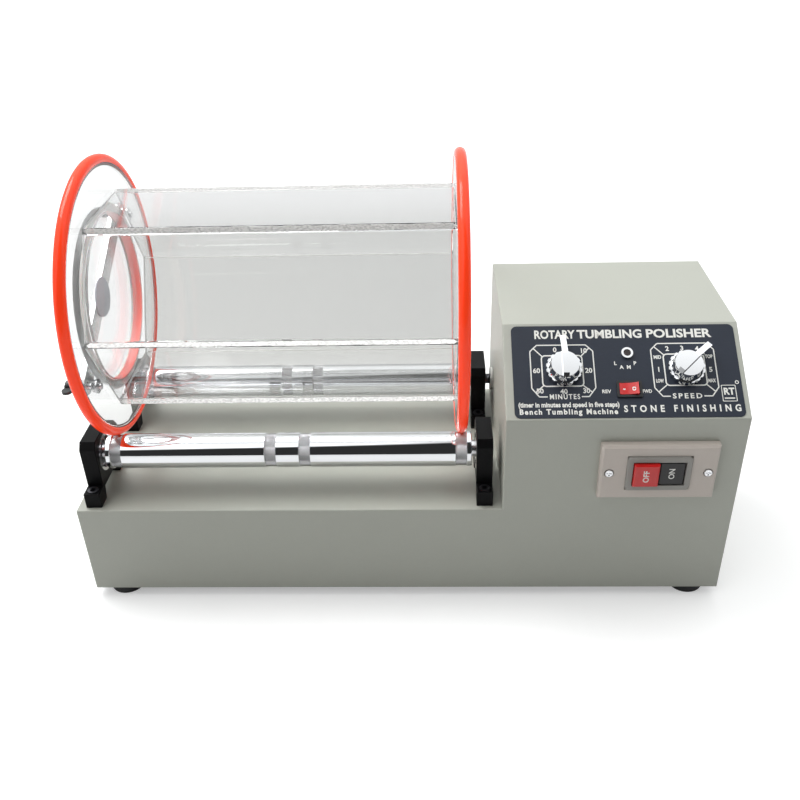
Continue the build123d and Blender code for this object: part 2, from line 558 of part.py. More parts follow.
def knob(uv, angle):
    """A chromed pointer knob: a scalloped skirt, a tapered body and a long blade."""
    at = Plane(PANEL * Location((uv[0], uv[1], KNOB_LIFT), (0, 0, angle)))
    with BuildSketch(at) as skirt:
        Circle(KNOB_R)
        with PolarLocations(KNOB_R + 0.5, KNOB_SCALLOPS):
            Circle(SCALLOP_R, mode=Mode.SUBTRACT)
    extrude(skirt.sketch, amount=KNOB_SKIRT_H)
    with BuildSketch(at.offset(KNOB_SKIRT_H)) as waist:
        Circle(KNOB_R - 1.6)
    extrude(waist.sketch, amount=KNOB_BODY_H - KNOB_SKIRT_H, taper=14)
    blade = Plane(origin=at.origin, x_dir=at.y_dir, z_dir=at.x_dir).offset(-POINTER_W / 2)
    with BuildSketch(blade) as pointer:
        Polygon((-POINTER_TAIL, KNOB_SKIRT_H - 1), (-POINTER_TAIL + 1, KNOB_BODY_H + 1),
                (-POINTER_TAIL + 4, POINTER_H), (9.0, POINTER_H), (POINTER_TIP, 8.5),
                (POINTER_TIP, 5.5), (KNOB_R - 3, 3.0), (0, 3.0), align=None)
    extrude(pointer.sketch, amount=POINTER_W)
    with BuildSketch(at.offset(-1)) as socket:
        Circle(SPINDLE_R + 0.02)
    extrude(socket.sketch, amount=SPINDLE_TOP - KNOB_LIFT + 1.2, mode=Mode.SUBTRACT)


for knob_name, uv in (("timer_knob", TIMER_UV), ("speed_knob", SPEED_UV)):
    with BuildPart() as knob_part:
        knob(uv, POINTER_ANGLES[knob_name])
    keep(knob_part, knob_name)

with BuildPart() as pilot_lamp_bezel:
    panel_round(LAMP_UV, LABEL_T, LABEL_T + 2.0, 5.0)
    panel_round(LAMP_UV, -10.0, LABEL_T, LAMP_R - 0.1)
    panel_round(LAMP_UV, -11.0, LABEL_T + 3.0, 3.2, Mode.SUBTRACT)
keep(pilot_lamp_bezel, "pilot_lamp_bezel")

with BuildPart() as pilot_lamp_lens:
    panel_round(LAMP_UV, -9.0, LABEL_T + 1.6, 3.15)
keep(pilot_lamp_lens, "pilot_lamp_lens")

ROCKER_BEZEL, ROCKER_SIZE, ROCKER_DEPTH = (21.0, 15.0), (16.4, 10.4), 16.0
ROCKER_TILT = 8.0
with BuildPart() as direction_switch_case:
    with BuildSketch(PANEL.offset(LABEL_T)):
        with Locations(ROCKER_UV):
            RectangleRounded(*ROCKER_BEZEL, 1.2)
    extrude(amount=1.6)
    with BuildSketch(PANEL.offset(-ROCKER_DEPTH)):
        with Locations(ROCKER_UV):
            Rectangle(ROCKER_BODY[0] - 0.4, ROCKER_BODY[1] - 0.4)
    extrude(amount=ROCKER_DEPTH + LABEL_T)
    with BuildSketch(PANEL.offset(-7.5)):
        with Locations(ROCKER_UV):
            Rectangle(ROCKER_SIZE[0] + 0.8, ROCKER_SIZE[1] + 0.6)
    extrude(amount=12.0, mode=Mode.SUBTRACT)
keep(direction_switch_case, "direction_switch_case")

with BuildPart() as direction_rocker:
    pivot = Plane(PANEL * Location((ROCKER_UV[0], ROCKER_UV[1], 0.0), (0, -ROCKER_TILT, 0)))
    side = Plane(origin=pivot.origin, x_dir=pivot.x_dir, z_dir=-pivot.y_dir).offset(-ROCKER_SIZE[1] / 2)
    with BuildSketch(side):
        with BuildLine():
            Line((-8.0, -1.0), (-8.0, 3.6))
            ThreePointArc((-8.0, 3.6), (0, 2.4), (8.0, 3.6))
            Polyline((8.0, 3.6), (8.0, -1.0), (0, -5.0), (-8.0, -1.0))
        make_face()
    extrude(amount=ROCKER_SIZE[1])
keep(direction_rocker, "direction_rocker")

# ---- push-button station ---------------------------------------------------------------------
with BuildPart() as station_plate:
    with BuildSketch(FRONT):
        with Locations((STATION_X, STATION_Z)):
            Rectangle(*STATION_SIZE)
    extrude(amount=STATION_T)
    chamfer(station_plate.faces().sort_by(Axis.Y)[0].edges(), 2.0)
    with BuildSketch(FRONT):
        with Locations((STATION_X, STATION_Z)):
            Rectangle(BEZEL_SIZE[0] + 0.2, BEZEL_SIZE[1] + 0.2)
            with Locations((-STATION_SCREW_DX, 0), (STATION_SCREW_DX, 0)):
                Circle(2.1)
    extrude(amount=STATION_T + 1, mode=Mode.SUBTRACT)
    with BuildSketch(FRONT.offset(STATION_T - 1.6)):
        with Locations((STATION_X - STATION_SCREW_DX, STATION_Z), (STATION_X + STATION_SCREW_DX, STATION_Z)):
            Circle(4.3)
    extrude(amount=STATION_T, mode=Mode.SUBTRACT)
keep(station_plate, "station_plate")

with BuildPart() as station_screws:
    for side_x in (-STATION_SCREW_DX, STATION_SCREW_DX):
        spot = Plane(origin=(STATION_X + side_x, -HALF_D, STATION_Z), x_dir=(1, 0, 0), z_dir=(0, -1, 0))
        with BuildSketch(spot.offset(-8)):
            Circle(1.9)
        extrude(amount=8 + STATION_T - 1.6)
        with BuildSketch(spot.offset(STATION_T - 1.6)):
            Circle(4.0)
        extrude(amount=2.4, taper=18)
        with BuildSketch(spot.offset(STATION_T - 0.2)):
            Rectangle(5.0, 1.0)
            Rectangle(1.0, 5.0)
        extrude(amount=2.0, mode=Mode.SUBTRACT)
keep(station_screws, "station_screws")

SWITCH_DEPTH, WELL_DEPTH = 34.0, 18.0
with BuildPart() as station_switch_case:
    with BuildSketch(FRONT.offset(-SWITCH_DEPTH)):
        with Locations((STATION_X, STATION_Z)):
            Rectangle(BEZEL_SIZE[0] - 1, BEZEL_SIZE[1] - 1)
    extrude(amount=SWITCH_DEPTH)
    with BuildSketch(FRONT):
        with Locations((STATION_X, STATION_Z)):
            RectangleRounded(*BEZEL_SIZE, 3.5)
    extrude(amount=STATION_T + BEZEL_PROUD)
    chamfer(station_switch_case.faces().sort_by(Axis.Y)[0].edges(), 0.9)
    with BuildSketch(FRONT.offset(-WELL_DEPTH)):
        with Locations((STATION_X, STATION_Z)):
            Rectangle(*BUTTON_WELL)
    extrude(amount=WELL_DEPTH + STATION_T + BEZEL_PROUD + 1, mode=Mode.SUBTRACT)
keep(station_switch_case, "station_switch_case")

BUTTON_TRAVEL, BUTTON_STEM = 4.0, 16.0
BUTTON_FACE = STATION_T + BEZEL_PROUD
BUTTONS = {"off_button": (-11.2, (21.4, 22.6), BUTTON_FACE + 3.4),
           "on_button": (11.2, (21.6, 23.4), BUTTON_FACE - 0.6)}
for button_name, (dx, size, face) in BUTTONS.items():
    with BuildPart() as button:
        with BuildSketch(FRONT.offset(face - BUTTON_STEM)):
            with Locations((STATION_X + dx, STATION_Z)):
                Rectangle(*size)
        extrude(amount=BUTTON_STEM)
        chamfer(button.faces().sort_by(Axis.Y)[0].edges(), 1.0)
    keep(button, button_name)

# ---- mains inlet -----------------------------------------------------------------------------
with BuildPart() as mains_inlet:
    with BuildSketch(REAR.offset(-3.0)):
        with Locations((INLET_X, INLET_Z)):
            RectangleRounded(48.0, 26.0, 3.0)
            with Locations((-INLET_SCREW_DX, 0), (INLET_SCREW_DX, 0)):
                Circle(1.8, mode=Mode.SUBTRACT)
    extrude(amount=3.0)
    with BuildSketch(REAR):
        with Locations((INLET_X, INLET_Z)):
            Rectangle(INLET_BODY[0] - 0.4, INLET_BODY[1] - 0.4)
    extrude(amount=22.0)
    with BuildSketch(REAR.offset(-4.0)):
        with Locations((INLET_X, INLET_Z)):
            Rectangle(24.2, 16.4)
    extrude(amount=20.0, mode=Mode.SUBTRACT)
    with BuildSketch(REAR.offset(3.0)):
        with Locations((INLET_X, INLET_Z)):
            with Locations((-7.0, -2.0), (0.0, 2.0), (7.0, -2.0)):
                Rectangle(2.0, 4.0)
    extrude(amount=14.0)
keep(mains_inlet, "mains_inlet")

with BuildPart() as inlet_screws:
    for side_x in (-INLET_SCREW_DX, INLET_SCREW_DX):
        spot = Plane(origin=(INLET_X + side_x, HALF_D + 3.0, INLET_Z), x_dir=(1, 0, 0), z_dir=(0, 1, 0))
        with BuildSketch(spot.offset(-10)):
            Circle(1.5)
        extrude(amount=10)
        with BuildSketch(spot):
            Circle(2.6)
        extrude(amount=1.4, taper=20)
keep(inlet_screws, "inlet_screws")

# ---- barrel ----------------------------------------------------------------------------------
WALLS_LEFT_X, WALLS_RIGHT_X = LEFT_DISC_X + DISC_T / 2, RIGHT_DISC_X - DISC_T / 2
APOTHEM = HEX_R * math.cos(math.pi / 6)
WALL_GLUE = 0.03                  # half the glue line between two walls
STUD_RADIUS, STUD_ANGLE, STUD_R = 92.5, 30.0, 3.0


def barrel_plane(x, turn=0.0):
    """A plane square to the barrel with its centre on the barrel's axis, turned about it."""
    angle = math.radians(turn)
    return Plane(origin=(x, 0, BARREL_Z), x_dir=(0, math.cos(angle), math.sin(angle)), z_dir=(1, 0, 0))


with BuildPart() as barrel_walls:
    mitre = math.tan(math.pi / 6)
    for number in range(6):
        with BuildSketch(barrel_plane(WALLS_LEFT_X, 60.0 * number)):
            Polygon((-APOTHEM * mitre + WALL_GLUE, APOTHEM), (APOTHEM * mitre - WALL_GLUE, APOTHEM),
                    ((APOTHEM - WALL_T) * mitre - WALL_GLUE, APOTHEM - WALL_T),
                    (-(APOTHEM - WALL_T) * mitre + WALL_GLUE, APOTHEM - WALL_T), align=None)
        extrude(amount=WALLS_RIGHT_X - WALLS_LEFT_X)
keep(barrel_walls, "barrel_walls")

DISC_R = TYRE_R + 1.0
GROOVE_CUT_R = TYRE_CORD_R + 0.02


def tyred_disc(x_mid):
    """A clear disc whose rim has the half-round groove that holds the tyre."""
    rod(x_mid - DISC_T / 2, x_mid + DISC_T / 2, 0, BARREL_Z, DISC_R)
    with BuildSketch(Plane(origin=(x_mid, 0, BARREL_Z), x_dir=(1, 0, 0), z_dir=(0, -1, 0))) as groove:
        with Locations((0, TYRE_R)):
            Circle(GROOVE_CUT_R)
    revolve(groove.sketch, axis=Axis((x_mid, 0, BARREL_Z), (1, 0, 0)), mode=Mode.SUBTRACT)


with BuildPart() as left_disc:
    tyred_disc(LEFT_DISC_X)
    bore(LEFT_FACE_X - 1, WALLS_LEFT_X + 1, 0, BARREL_Z, DOOR_R)
    with BuildSketch(barrel_plane(LEFT_FACE_X - 1, STUD_ANGLE)):
        with Locations((-STUD_RADIUS, 0), (STUD_RADIUS, 0)):
            Circle(STUD_R + 0.05)
    extrude(amount=DISC_T + 2, mode=Mode.SUBTRACT)
keep(left_disc, "left_disc")

with BuildPart() as right_disc:
    tyred_disc(RIGHT_DISC_X)
keep(right_disc, "right_disc")

for tyre_name, x in (("left_tyre", LEFT_DISC_X), ("right_tyre", RIGHT_DISC_X)):
    with BuildPart() as tyre:
        with BuildSketch(Plane(origin=(x, 0, BARREL_Z), x_dir=(1, 0, 0), z_dir=(0, -1, 0))):
            with Locations((0, TYRE_R)):
                Circle(TYRE_CORD_R)
        revolve(axis=Axis((x, 0, BARREL_Z), (1, 0, 0)))
    keep(tyre, tyre_name)

# ---- lid and its clamp -----------------------------------------------------------------------
LID_R, LID_T, GASKET_T = 80.0, 6.0, 2.0
LID_X = LEFT_FACE_X - GASKET_T             # inner face of the lid
PAD_R, PAD_T = 18.0, 1.5
BAR_X, BAR_T, BAR_W, BAR_OVERHANG = LID_X - LID_T - PAD_T, 4.0, 18.0, 7.5
NUT_R, NUT_H, NUT_WASHER_R, NUT_WASHER_T = 5.6, 3.6, 6.5, 1.2
HUB_R, HUB_L, WING_GAP = 5.0, 8.0, 0.4
WING_REACH, WING_TIP_R, WING_T = 8.5, 4.2, 2.6
STUD_END_X = BAR_X - BAR_T - HUB_L - 1.5
STUD_PLACES = {"upper": (STUD_RADIUS * math.cos(math.radians(STUD_ANGLE)),
                         BARREL_Z + STUD_RADIUS * math.sin(math.radians(STUD_ANGLE))),
               "lower": (-STUD_RADIUS * math.cos(math.radians(STUD_ANGLE)),
                         BARREL_Z - STUD_RADIUS * math.sin(math.radians(STUD_ANGLE)))}

with BuildPart() as lid:
    rod(LID_X - LID_T, LID_X, 0, BARREL_Z, LID_R)
    chamfer(lid.edges().filter_by(GeomType.CIRCLE), 0.8)
keep(lid, "lid")

with BuildPart() as lid_gasket:
    rod(LID_X, LEFT_FACE_X, 0, BARREL_Z, LID_R - 1)
    bore(LID_X - 1, LEFT_FACE_X + 1, 0, BARREL_Z, DOOR_R + 1)
keep(lid_gasket, "lid_gasket")

with BuildPart() as lid_studs:
    for y, z in STUD_PLACES.values():
        rod(STUD_END_X, WALLS_LEFT_X, y, z, STUD_R)
keep(lid_studs, "lid_studs")

with BuildPart() as stud_nuts:
    for y, z in STUD_PLACES.values():
        for x, shape, length in ((LEFT_FACE_X - NUT_WASHER_T, "washer", NUT_WASHER_T),
                                 (LEFT_FACE_X - NUT_WASHER_T - NUT_H, "nut", NUT_H)):
            with BuildSketch(on_axis(x, y, z)) as ring:
                if shape == "nut":
                    RegularPolygon(NUT_R, 6)
                else:
                    Circle(NUT_WASHER_R)
                Circle(STUD_R, mode=Mode.SUBTRACT)
            extrude(ring.sketch, amount=length)
keep(stud_nuts, "stud_nuts")

with BuildPart() as lid_pad:
    rod(BAR_X, LID_X - LID_T, 0, BARREL_Z, PAD_R)
    chamfer(lid_pad.edges().filter_by(GeomType.CIRCLE), 0.3)
keep(lid_pad, "lid_pad")

with BuildPart() as lid_bar:
    with BuildSketch(barrel_plane(BAR_X - BAR_T, STUD_ANGLE)):
        SlotOverall(2 * (STUD_RADIUS + BAR_OVERHANG), BAR_W)
        with Locations((-STUD_RADIUS, 0), (STUD_RADIUS, 0)):
            Circle(STUD_R + 0.3, mode=Mode.SUBTRACT)
    extrude(amount=BAR_T)
keep(lid_bar, "lid_bar")

HUB_X = BAR_X - BAR_T - WING_GAP - HUB_L
for place, (y, z) in STUD_PLACES.items():
    with BuildPart() as wing_nut:
        rod(HUB_X, HUB_X + HUB_L, y, z, HUB_R)
        chamfer(wing_nut.edges().filter_by(GeomType.CIRCLE), 0.6)
        for way in (-1, 1):
            with BuildSketch(Plane.XY.offset(z - WING_T / 2)):
                with Locations((HUB_X + WING_TIP_R - 1.0, y + way * WING_REACH)):
                    Circle(WING_TIP_R)
                with Locations((HUB_X + HUB_L / 2, y + way * (HUB_R - 1.5))):
                    Rectangle(HUB_L - 1.6, 2.0)
                make_hull()
            extrude(amount=WING_T)
        bore(HUB_X - 1, HUB_X + HUB_L + 1, y, z, STUD_R + 0.05)
    keep(wing_nut, f"wing_nut_{place}")
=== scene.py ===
# %% [markdown]
# A bench rock tumbler, finished piece by piece.
# The design comes ready made: every part has its place and its size. This script loads it,
# gives each finish its own shader, and makes again the pieces whose surface needs more than
# a plain solid: the knurled rollers, the clear barrel, the cord tyres and the printed panel.

# %% load the design
import json
import math

import bmesh
import bpy
import numpy as np
from mathutils import Matrix, Vector


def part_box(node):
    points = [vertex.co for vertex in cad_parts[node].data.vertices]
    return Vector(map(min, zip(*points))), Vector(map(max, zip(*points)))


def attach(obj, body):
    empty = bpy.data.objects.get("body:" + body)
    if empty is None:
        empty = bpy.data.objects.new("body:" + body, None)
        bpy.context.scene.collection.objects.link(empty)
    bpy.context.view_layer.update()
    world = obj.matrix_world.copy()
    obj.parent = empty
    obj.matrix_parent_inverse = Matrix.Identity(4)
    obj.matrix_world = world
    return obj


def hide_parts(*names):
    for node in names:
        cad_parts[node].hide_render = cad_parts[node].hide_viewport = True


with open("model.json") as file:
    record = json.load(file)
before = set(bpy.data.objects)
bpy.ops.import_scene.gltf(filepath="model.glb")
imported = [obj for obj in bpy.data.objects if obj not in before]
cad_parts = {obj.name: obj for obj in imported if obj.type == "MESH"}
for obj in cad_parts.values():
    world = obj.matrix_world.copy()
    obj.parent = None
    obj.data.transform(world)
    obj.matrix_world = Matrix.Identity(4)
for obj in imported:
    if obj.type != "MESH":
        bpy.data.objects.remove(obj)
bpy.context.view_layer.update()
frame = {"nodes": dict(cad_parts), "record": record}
NODES = frame["nodes"]
MM = 0.001
TURN = 2 * math.pi

# %% [markdown]
# The camera comes first. A product is best seen from a little above, far enough away that the
# long body keeps its proportions. The three directions below are the camera's own axes, so the
# view is set exactly and needs no tracking.

# %% camera
CAMERA_PLACE = Vector((0.0292, -0.7434, 0.6175))
CAMERA_RIGHT = Vector((0.99934, 0.02510, -0.02637))
CAMERA_UP = Vector((0.00911, 0.52876, 0.84872))
CAMERA_LENS = 40.9


def make_camera():
    """A camera whose matrix columns are right, up and backwards."""
    data = bpy.data.cameras.new("camera")
    data.lens = CAMERA_LENS
    data.sensor_width = 36.0
    data.clip_start, data.clip_end = 0.01, 50.0
    camera = bpy.data.objects.new("camera", data)
    bpy.context.scene.collection.objects.link(camera)
    back = CAMERA_RIGHT.cross(CAMERA_UP).normalized()
    turn = Matrix((CAMERA_RIGHT, CAMERA_UP, back)).transposed()
    camera.matrix_world = Matrix.Translation(CAMERA_PLACE) @ turn.to_4x4()
    bpy.context.scene.camera = camera


make_camera()
bpy.context.scene.view_settings.view_transform = "Standard"

# %% [markdown]
# Shaders are built from nodes. Three small helpers keep that readable: one adds a node, one
# joins two sockets, and one makes a sum, product or comparison in a single line.


# %% node helpers
def add_node(tree, kind, **values):
    """Adds a node and sets its inputs and properties by name."""
    node = tree.nodes.new(kind)
    for name, value in values.items():
        if name in node.inputs:
            node.inputs[name].default_value = value
        else:
            setattr(node, name, value)
    return node


def plug(tree, source, target):
    """Joins two sockets, or sets a plain number or colour on the target."""
    if hasattr(source, "links"):
        tree.links.new(source, target)
    else:
        target.default_value = source
    return target


def calc(tree, operation, *values, clamp=False):
    """One Math node; its inputs are sockets or numbers."""
    node = tree.nodes.new("ShaderNodeMath")
    node.operation = operation
    node.use_clamp = clamp
    for socket, value in zip(node.inputs, values):
        plug(tree, value, socket)
    return node.outputs[0]


def fade(tree, value, low, high, out_low=0.0, out_high=1.0):
    """A smooth step: out_low below low, out_high above high."""
    node = tree.nodes.new("ShaderNodeMapRange")
    node.interpolation_type = "SMOOTHSTEP"
    for name, v in (("Value", value), ("From Min", low), ("From Max", high),
                    ("To Min", out_low), ("To Max", out_high)):
        plug(tree, v, node.inputs[name])
    return node.outputs["Result"]


def mix_colour(tree, share, one, two, blend="MIX"):
    """Blends two colours by a share from 0 to 1."""
    node = tree.nodes.new("ShaderNodeMix")
    node.data_type = "RGBA"
    node.blend_type = blend
    plug(tree, share, node.inputs["Factor"])
    for value, socket in ((one, node.inputs["A"]), (two, node.inputs["B"])):
        for candidate in node.inputs:
            if candidate.name == socket.name and candidate.type == "RGBA":
                socket = candidate
        plug(tree, value, socket)
    return [o for o in node.outputs if o.type == "RGBA"][0]


# %% [markdown]
# The light is a bright white studio: a wide ceiling of light and pale walls at the back and
# sides. Chrome only looks like chrome when it has something dark to mirror, so the part of the
# room behind the camera is left dim. That also keeps the front of the machine deeper in tone
# than its top. All of this is painted on the world by direction, which costs nothing to render;
# where the eye meets the room itself, it stays white.

# %% world and lamps
SKY_LIGHT, SKY_COLOUR = 1.66, (0.985, 1.0, 1.0, 1)
WALL_LIGHT = 0.72
DIM_ROOM = 0.03
# each pair is where a smooth step starts and ends; the line rises by DIM_SLANT to the right
CEILING_STEP, FRONT_STEP, SIDE_STEP = (0.25, 0.85), (-0.05, -0.30), (-0.85, -0.5)
DIM_SLANT, SLANT_STEP = 1.1, (1.02, 0.90)


def make_world():
    """Brightness by direction: ceiling, pale walls, and a room in front, dim below a line."""
    world = bpy.data.worlds.new("studio")
    world.use_nodes = True
    tree = world.node_tree
    tree.nodes.clear()
    where = add_node(tree, "ShaderNodeTexCoord").outputs["Generated"]
    split = add_node(tree, "ShaderNodeSeparateXYZ")
    plug(tree, where, split.inputs[0])
    x, y, z = split.outputs
    ceiling = fade(tree, z, *CEILING_STEP, WALL_LIGHT, SKY_LIGHT)
    in_front = fade(tree, y, *FRONT_STEP)
    slanted = calc(tree, "SUBTRACT", z, calc(tree, "MULTIPLY", x, DIM_SLANT))
    low_enough = fade(tree, slanted, *SLANT_STEP)
    clear_of_left = fade(tree, x, *SIDE_STEP)
    dim = calc(tree, "MULTIPLY", calc(tree, "MULTIPLY", in_front, low_enough), clear_of_left)
    level = calc(tree, "ADD", calc(tree, "MULTIPLY", ceiling, calc(tree, "SUBTRACT", 1.0, dim)),
                 calc(tree, "MULTIPLY", dim, DIM_ROOM))
    seen = add_node(tree, "ShaderNodeLightPath").outputs["Is Camera Ray"]
    light = add_node(tree, "ShaderNodeBackground", Color=SKY_COLOUR)
    plug(tree, calc(tree, "MAXIMUM", level, seen), light.inputs["Strength"])
    out = add_node(tree, "ShaderNodeOutputWorld")
    tree.links.new(light.outputs[0], out.inputs["Surface"])
    bpy.context.scene.world = world


def make_lamp(name, place, aim, size, watts):
    """A square area lamp pointed at a place."""
    data = bpy.data.lights.new(name, "AREA")
    data.shape, data.size, data.energy = "SQUARE", size, watts
    lamp = bpy.data.objects.new(name, data)
    bpy.context.scene.collection.objects.link(lamp)
    lamp.location = place
    lamp.rotation_euler = (Vector(aim) - Vector(place)).to_track_quat("-Z", "Y").to_euler()


make_world()
make_lamp("key_lamp", place=(-0.9, 0.5, 1.9), aim=(0, 0, 0.15), size=1.1, watts=24.0)

# %% [markdown]
# The floor is one large pale sheet, part of the picture and not of the machine.
# It is a middling white that throws a modest light up at the machine, with a little glow of its
# own that only the eye sees, so the paper reads as white as a lit studio sweep.

# %% floor
FLOOR_HALF, FLOOR_TONE, FLOOR_GLOW = 12.0, 0.74, 0.36


def make_floor():
    """A flat square under the feet, matt and white."""
    mesh = bpy.data.meshes.new("floor")
    h = FLOOR_HALF
    mesh.from_pydata([(-h, -h, 0), (h, -h, 0), (h, h, 0), (-h, h, 0)], [], [(0, 1, 2, 3)])
    floor = bpy.data.objects.new("floor", mesh)
    bpy.context.scene.collection.objects.link(floor)
    material = bpy.data.materials.new("floor_paper")
    material.use_nodes = True
    tree = material.node_tree
    shader = tree.nodes["Principled BSDF"]
    shader.inputs["Base Color"].default_value = (FLOOR_TONE, FLOOR_TONE, FLOOR_TONE, 1)
    shader.inputs["Roughness"].default_value = 0.9
    shader.inputs["Specular IOR Level"].default_value = 0.1
    shader.inputs["Emission Color"].default_value = (1, 1, 1, 1)
    seen = add_node(tree, "ShaderNodeLightPath").outputs["Is Camera Ray"]
    plug(tree, calc(tree, "MULTIPLY", seen, FLOOR_GLOW), shader.inputs["Emission Strength"])
    mesh.materials.append(material)


make_floor()

# %% [markdown]
# Effects that many finishes share are node groups. Grain gives a fine bump and a faint colour
# change, as powder coat, moulded plastic and cast parts all have. Marks gives the dust and
# handling marks that no real surface is without.


# %% shared node groups
def new_group(name, inputs, outputs):
    """A shader node group with named float or colour sockets."""
    group = bpy.data.node_groups.new(name, "ShaderNodeTree")
    for label, kind, value in inputs:
        socket = group.interface.new_socket(label, in_out="INPUT", socket_type=kind)
        socket.default_value = value
    for label, kind in outputs:
        group.interface.new_socket(label, in_out="OUTPUT", socket_type=kind)
    return group, group.nodes.new("NodeGroupInput"), group.nodes.new("NodeGroupOutput")


def make_grain_group():
    """Two sizes of noise: the small one is the height of the skin, the large one its tone."""
    tree, given, out = new_group(
        "grain",
        [("Colour", "NodeSocketColor", (0.5, 0.5, 0.5, 1)), ("Scale", "NodeSocketFloat", 900.0),
         ("Depth", "NodeSocketFloat", 0.2), ("Variation", "NodeSocketFloat", 0.05),
         ("Roughness", "NodeSocketFloat", 0.5)],
        [("Colour", "NodeSocketColor"), ("Roughness", "NodeSocketFloat"),
         ("Normal", "NodeSocketVector")])
    where = add_node(tree, "ShaderNodeTexCoord").outputs["Object"]
    skin = add_node(tree, "ShaderNodeTexNoise", Detail=3.0)
    plug(tree, where, skin.inputs["Vector"])
    plug(tree, given.outputs["Scale"], skin.inputs["Scale"])
    cloud = add_node(tree, "ShaderNodeTexNoise", Scale=14.0, Detail=4.0, Roughness=0.6)
    plug(tree, where, cloud.inputs["Vector"])
    bump = add_node(tree, "ShaderNodeBump", Distance=0.0004)
    plug(tree, skin.outputs["Fac"], bump.inputs["Height"])
    plug(tree, given.outputs["Depth"], bump.inputs["Strength"])
    swing = calc(tree, "MULTIPLY", calc(tree, "SUBTRACT", cloud.outputs["Fac"], 0.5),
                 given.outputs["Variation"])
    tone = calc(tree, "ADD", 1.0, calc(tree, "MULTIPLY", swing, 2.0))
    colour = mix_colour(tree, 1.0, given.outputs["Colour"], tone, "MULTIPLY")
    rough = calc(tree, "ADD", given.outputs["Roughness"], swing, clamp=True)
    plug(tree, colour, out.inputs["Colour"])
    plug(tree, rough, out.inputs["Roughness"])
    plug(tree, bump.outputs["Normal"], out.inputs["Normal"])
    return tree


def make_marks_group():
    """Sparse scratches: a stretched noise cut to thin lines, and a mask of dusty patches."""
    tree, given, out = new_group(
        "marks",
        [("Amount", "NodeSocketFloat", 0.2), ("Scale", "NodeSocketFloat", 60.0)],
        [("Scratch", "NodeSocketFloat"), ("Dust", "NodeSocketFloat")])
    where = add_node(tree, "ShaderNodeTexCoord").outputs["Object"]
    place = add_node(tree, "ShaderNodeMapping", Rotation=(0.4, 0.7, 0.9), Scale=(1.0, 9.0, 1.0))
    plug(tree, where, place.inputs["Vector"])
    lines = add_node(tree, "ShaderNodeTexNoise", Detail=5.0, Roughness=0.7)
    plug(tree, place.outputs[0], lines.inputs["Vector"])
    plug(tree, given.outputs["Scale"], lines.inputs["Scale"])
    thin = fade(tree, calc(tree, "ABSOLUTE", calc(tree, "SUBTRACT", lines.outputs["Fac"], 0.5)),
                0.012, 0.002)
    patches = add_node(tree, "ShaderNodeTexNoise", Scale=9.0, Detail=6.0, Roughness=0.65)
    plug(tree, where, patches.inputs["Vector"])
    dust = fade(tree, patches.outputs["Fac"], 0.45, 0.75)
    plug(tree, calc(tree, "MULTIPLY", thin, given.outputs["Amount"]), out.inputs["Scratch"])
    plug(tree, calc(tree, "MULTIPLY", dust, given.outputs["Amount"]), out.inputs["Dust"])
    return tree


GRAIN, MARKS = make_grain_group(), make_marks_group()

# %% [markdown]
# A finish is a short recipe: a colour, a grain and a few numbers on the shader itself. The
# table lists them in a maker's words, and one function mixes each one.


# %% finishes
def start_material(name):
    """An empty node material with its Principled shader and output."""
    material = bpy.data.materials.new(name)
    material.use_nodes = True
    tree = material.node_tree
    return material, tree, tree.nodes["Principled BSDF"]


def place_group(tree, group, **values):
    """Puts a shared group in a material."""
    node = tree.nodes.new("ShaderNodeGroup")
    node.node_tree = group
    for name, value in values.items():
        node.inputs[name].default_value = value
    return node


def grained(name, colour, rough, scale=900.0, depth=0.2, variation=0.05, marks=0.15, **sockets):
    """A solid finish with grain, a little dust in its roughness and faint scratches."""
    material, tree, shader = start_material(name)
    grain = place_group(tree, GRAIN, Colour=(*colour, 1), Scale=scale, Depth=depth,
                        Variation=variation, Roughness=rough)
    wear = place_group(tree, MARKS, Amount=marks)
    pale = tuple(min(1.0, c * 1.25 + 0.06) for c in colour)
    worn = mix_colour(tree, calc(tree, "MULTIPLY", wear.outputs["Scratch"], 0.5),
                      grain.outputs["Colour"], (*pale, 1))
    plug(tree, worn, shader.inputs["Base Color"])
    dusty = calc(tree, "ADD", grain.outputs["Roughness"],
                 calc(tree, "MULTIPLY", wear.outputs["Dust"], 0.25), clamp=True)
    plug(tree, dusty, shader.inputs["Roughness"])
    plug(tree, grain.outputs["Normal"], shader.inputs["Normal"])
    for label, value in sockets.items():
        shader.inputs[label.replace("_", " ")].default_value = value
    return material


def metal(name, colour, rough, scale=500.0, depth=0.05, marks=0.1, variation=0.03):
    """Bare or plated metal: the same recipe with Metallic turned up."""
    return grained(name, colour, rough, scale, depth, variation, marks, Metallic=1.0)


SHADOW_SHARE = 0.25  # how much of its tint clear plastic passes on to its shadow


def clear_plastic(name, tint, rough=0.0):
    """Cast acrylic: a clear body that lamps can shine through; a sawn edge has a rough skin."""
    material, tree, shader = start_material(name)
    wear = place_group(tree, MARKS, Amount=0.25, Scale=40.0)
    shader.inputs["Base Color"].default_value = (*tint, 1)
    shader.inputs["Transmission Weight"].default_value = 1.0
    shader.inputs["IOR"].default_value = 1.49
    dusty = calc(tree, "MULTIPLY", wear.outputs["Dust"], 0.05)
    plug(tree, calc(tree, "ADD", dusty, rough, clamp=True), shader.inputs["Roughness"])
    shade = [1 - (1 - c) * SHADOW_SHARE for c in tint]
    glow = add_node(tree, "ShaderNodeBsdfTransparent", Color=(*shade, 1))
    path = add_node(tree, "ShaderNodeLightPath")
    pick = add_node(tree, "ShaderNodeMixShader")
    out = tree.nodes["Material Output"]
    tree.links.new(path.outputs["Is Shadow Ray"], pick.inputs["Fac"])
    tree.links.new(shader.outputs[0], pick.inputs[1])
    tree.links.new(glow.outputs[0], pick.inputs[2])
    tree.links.new(pick.outputs[0], out.inputs["Surface"])
    return material


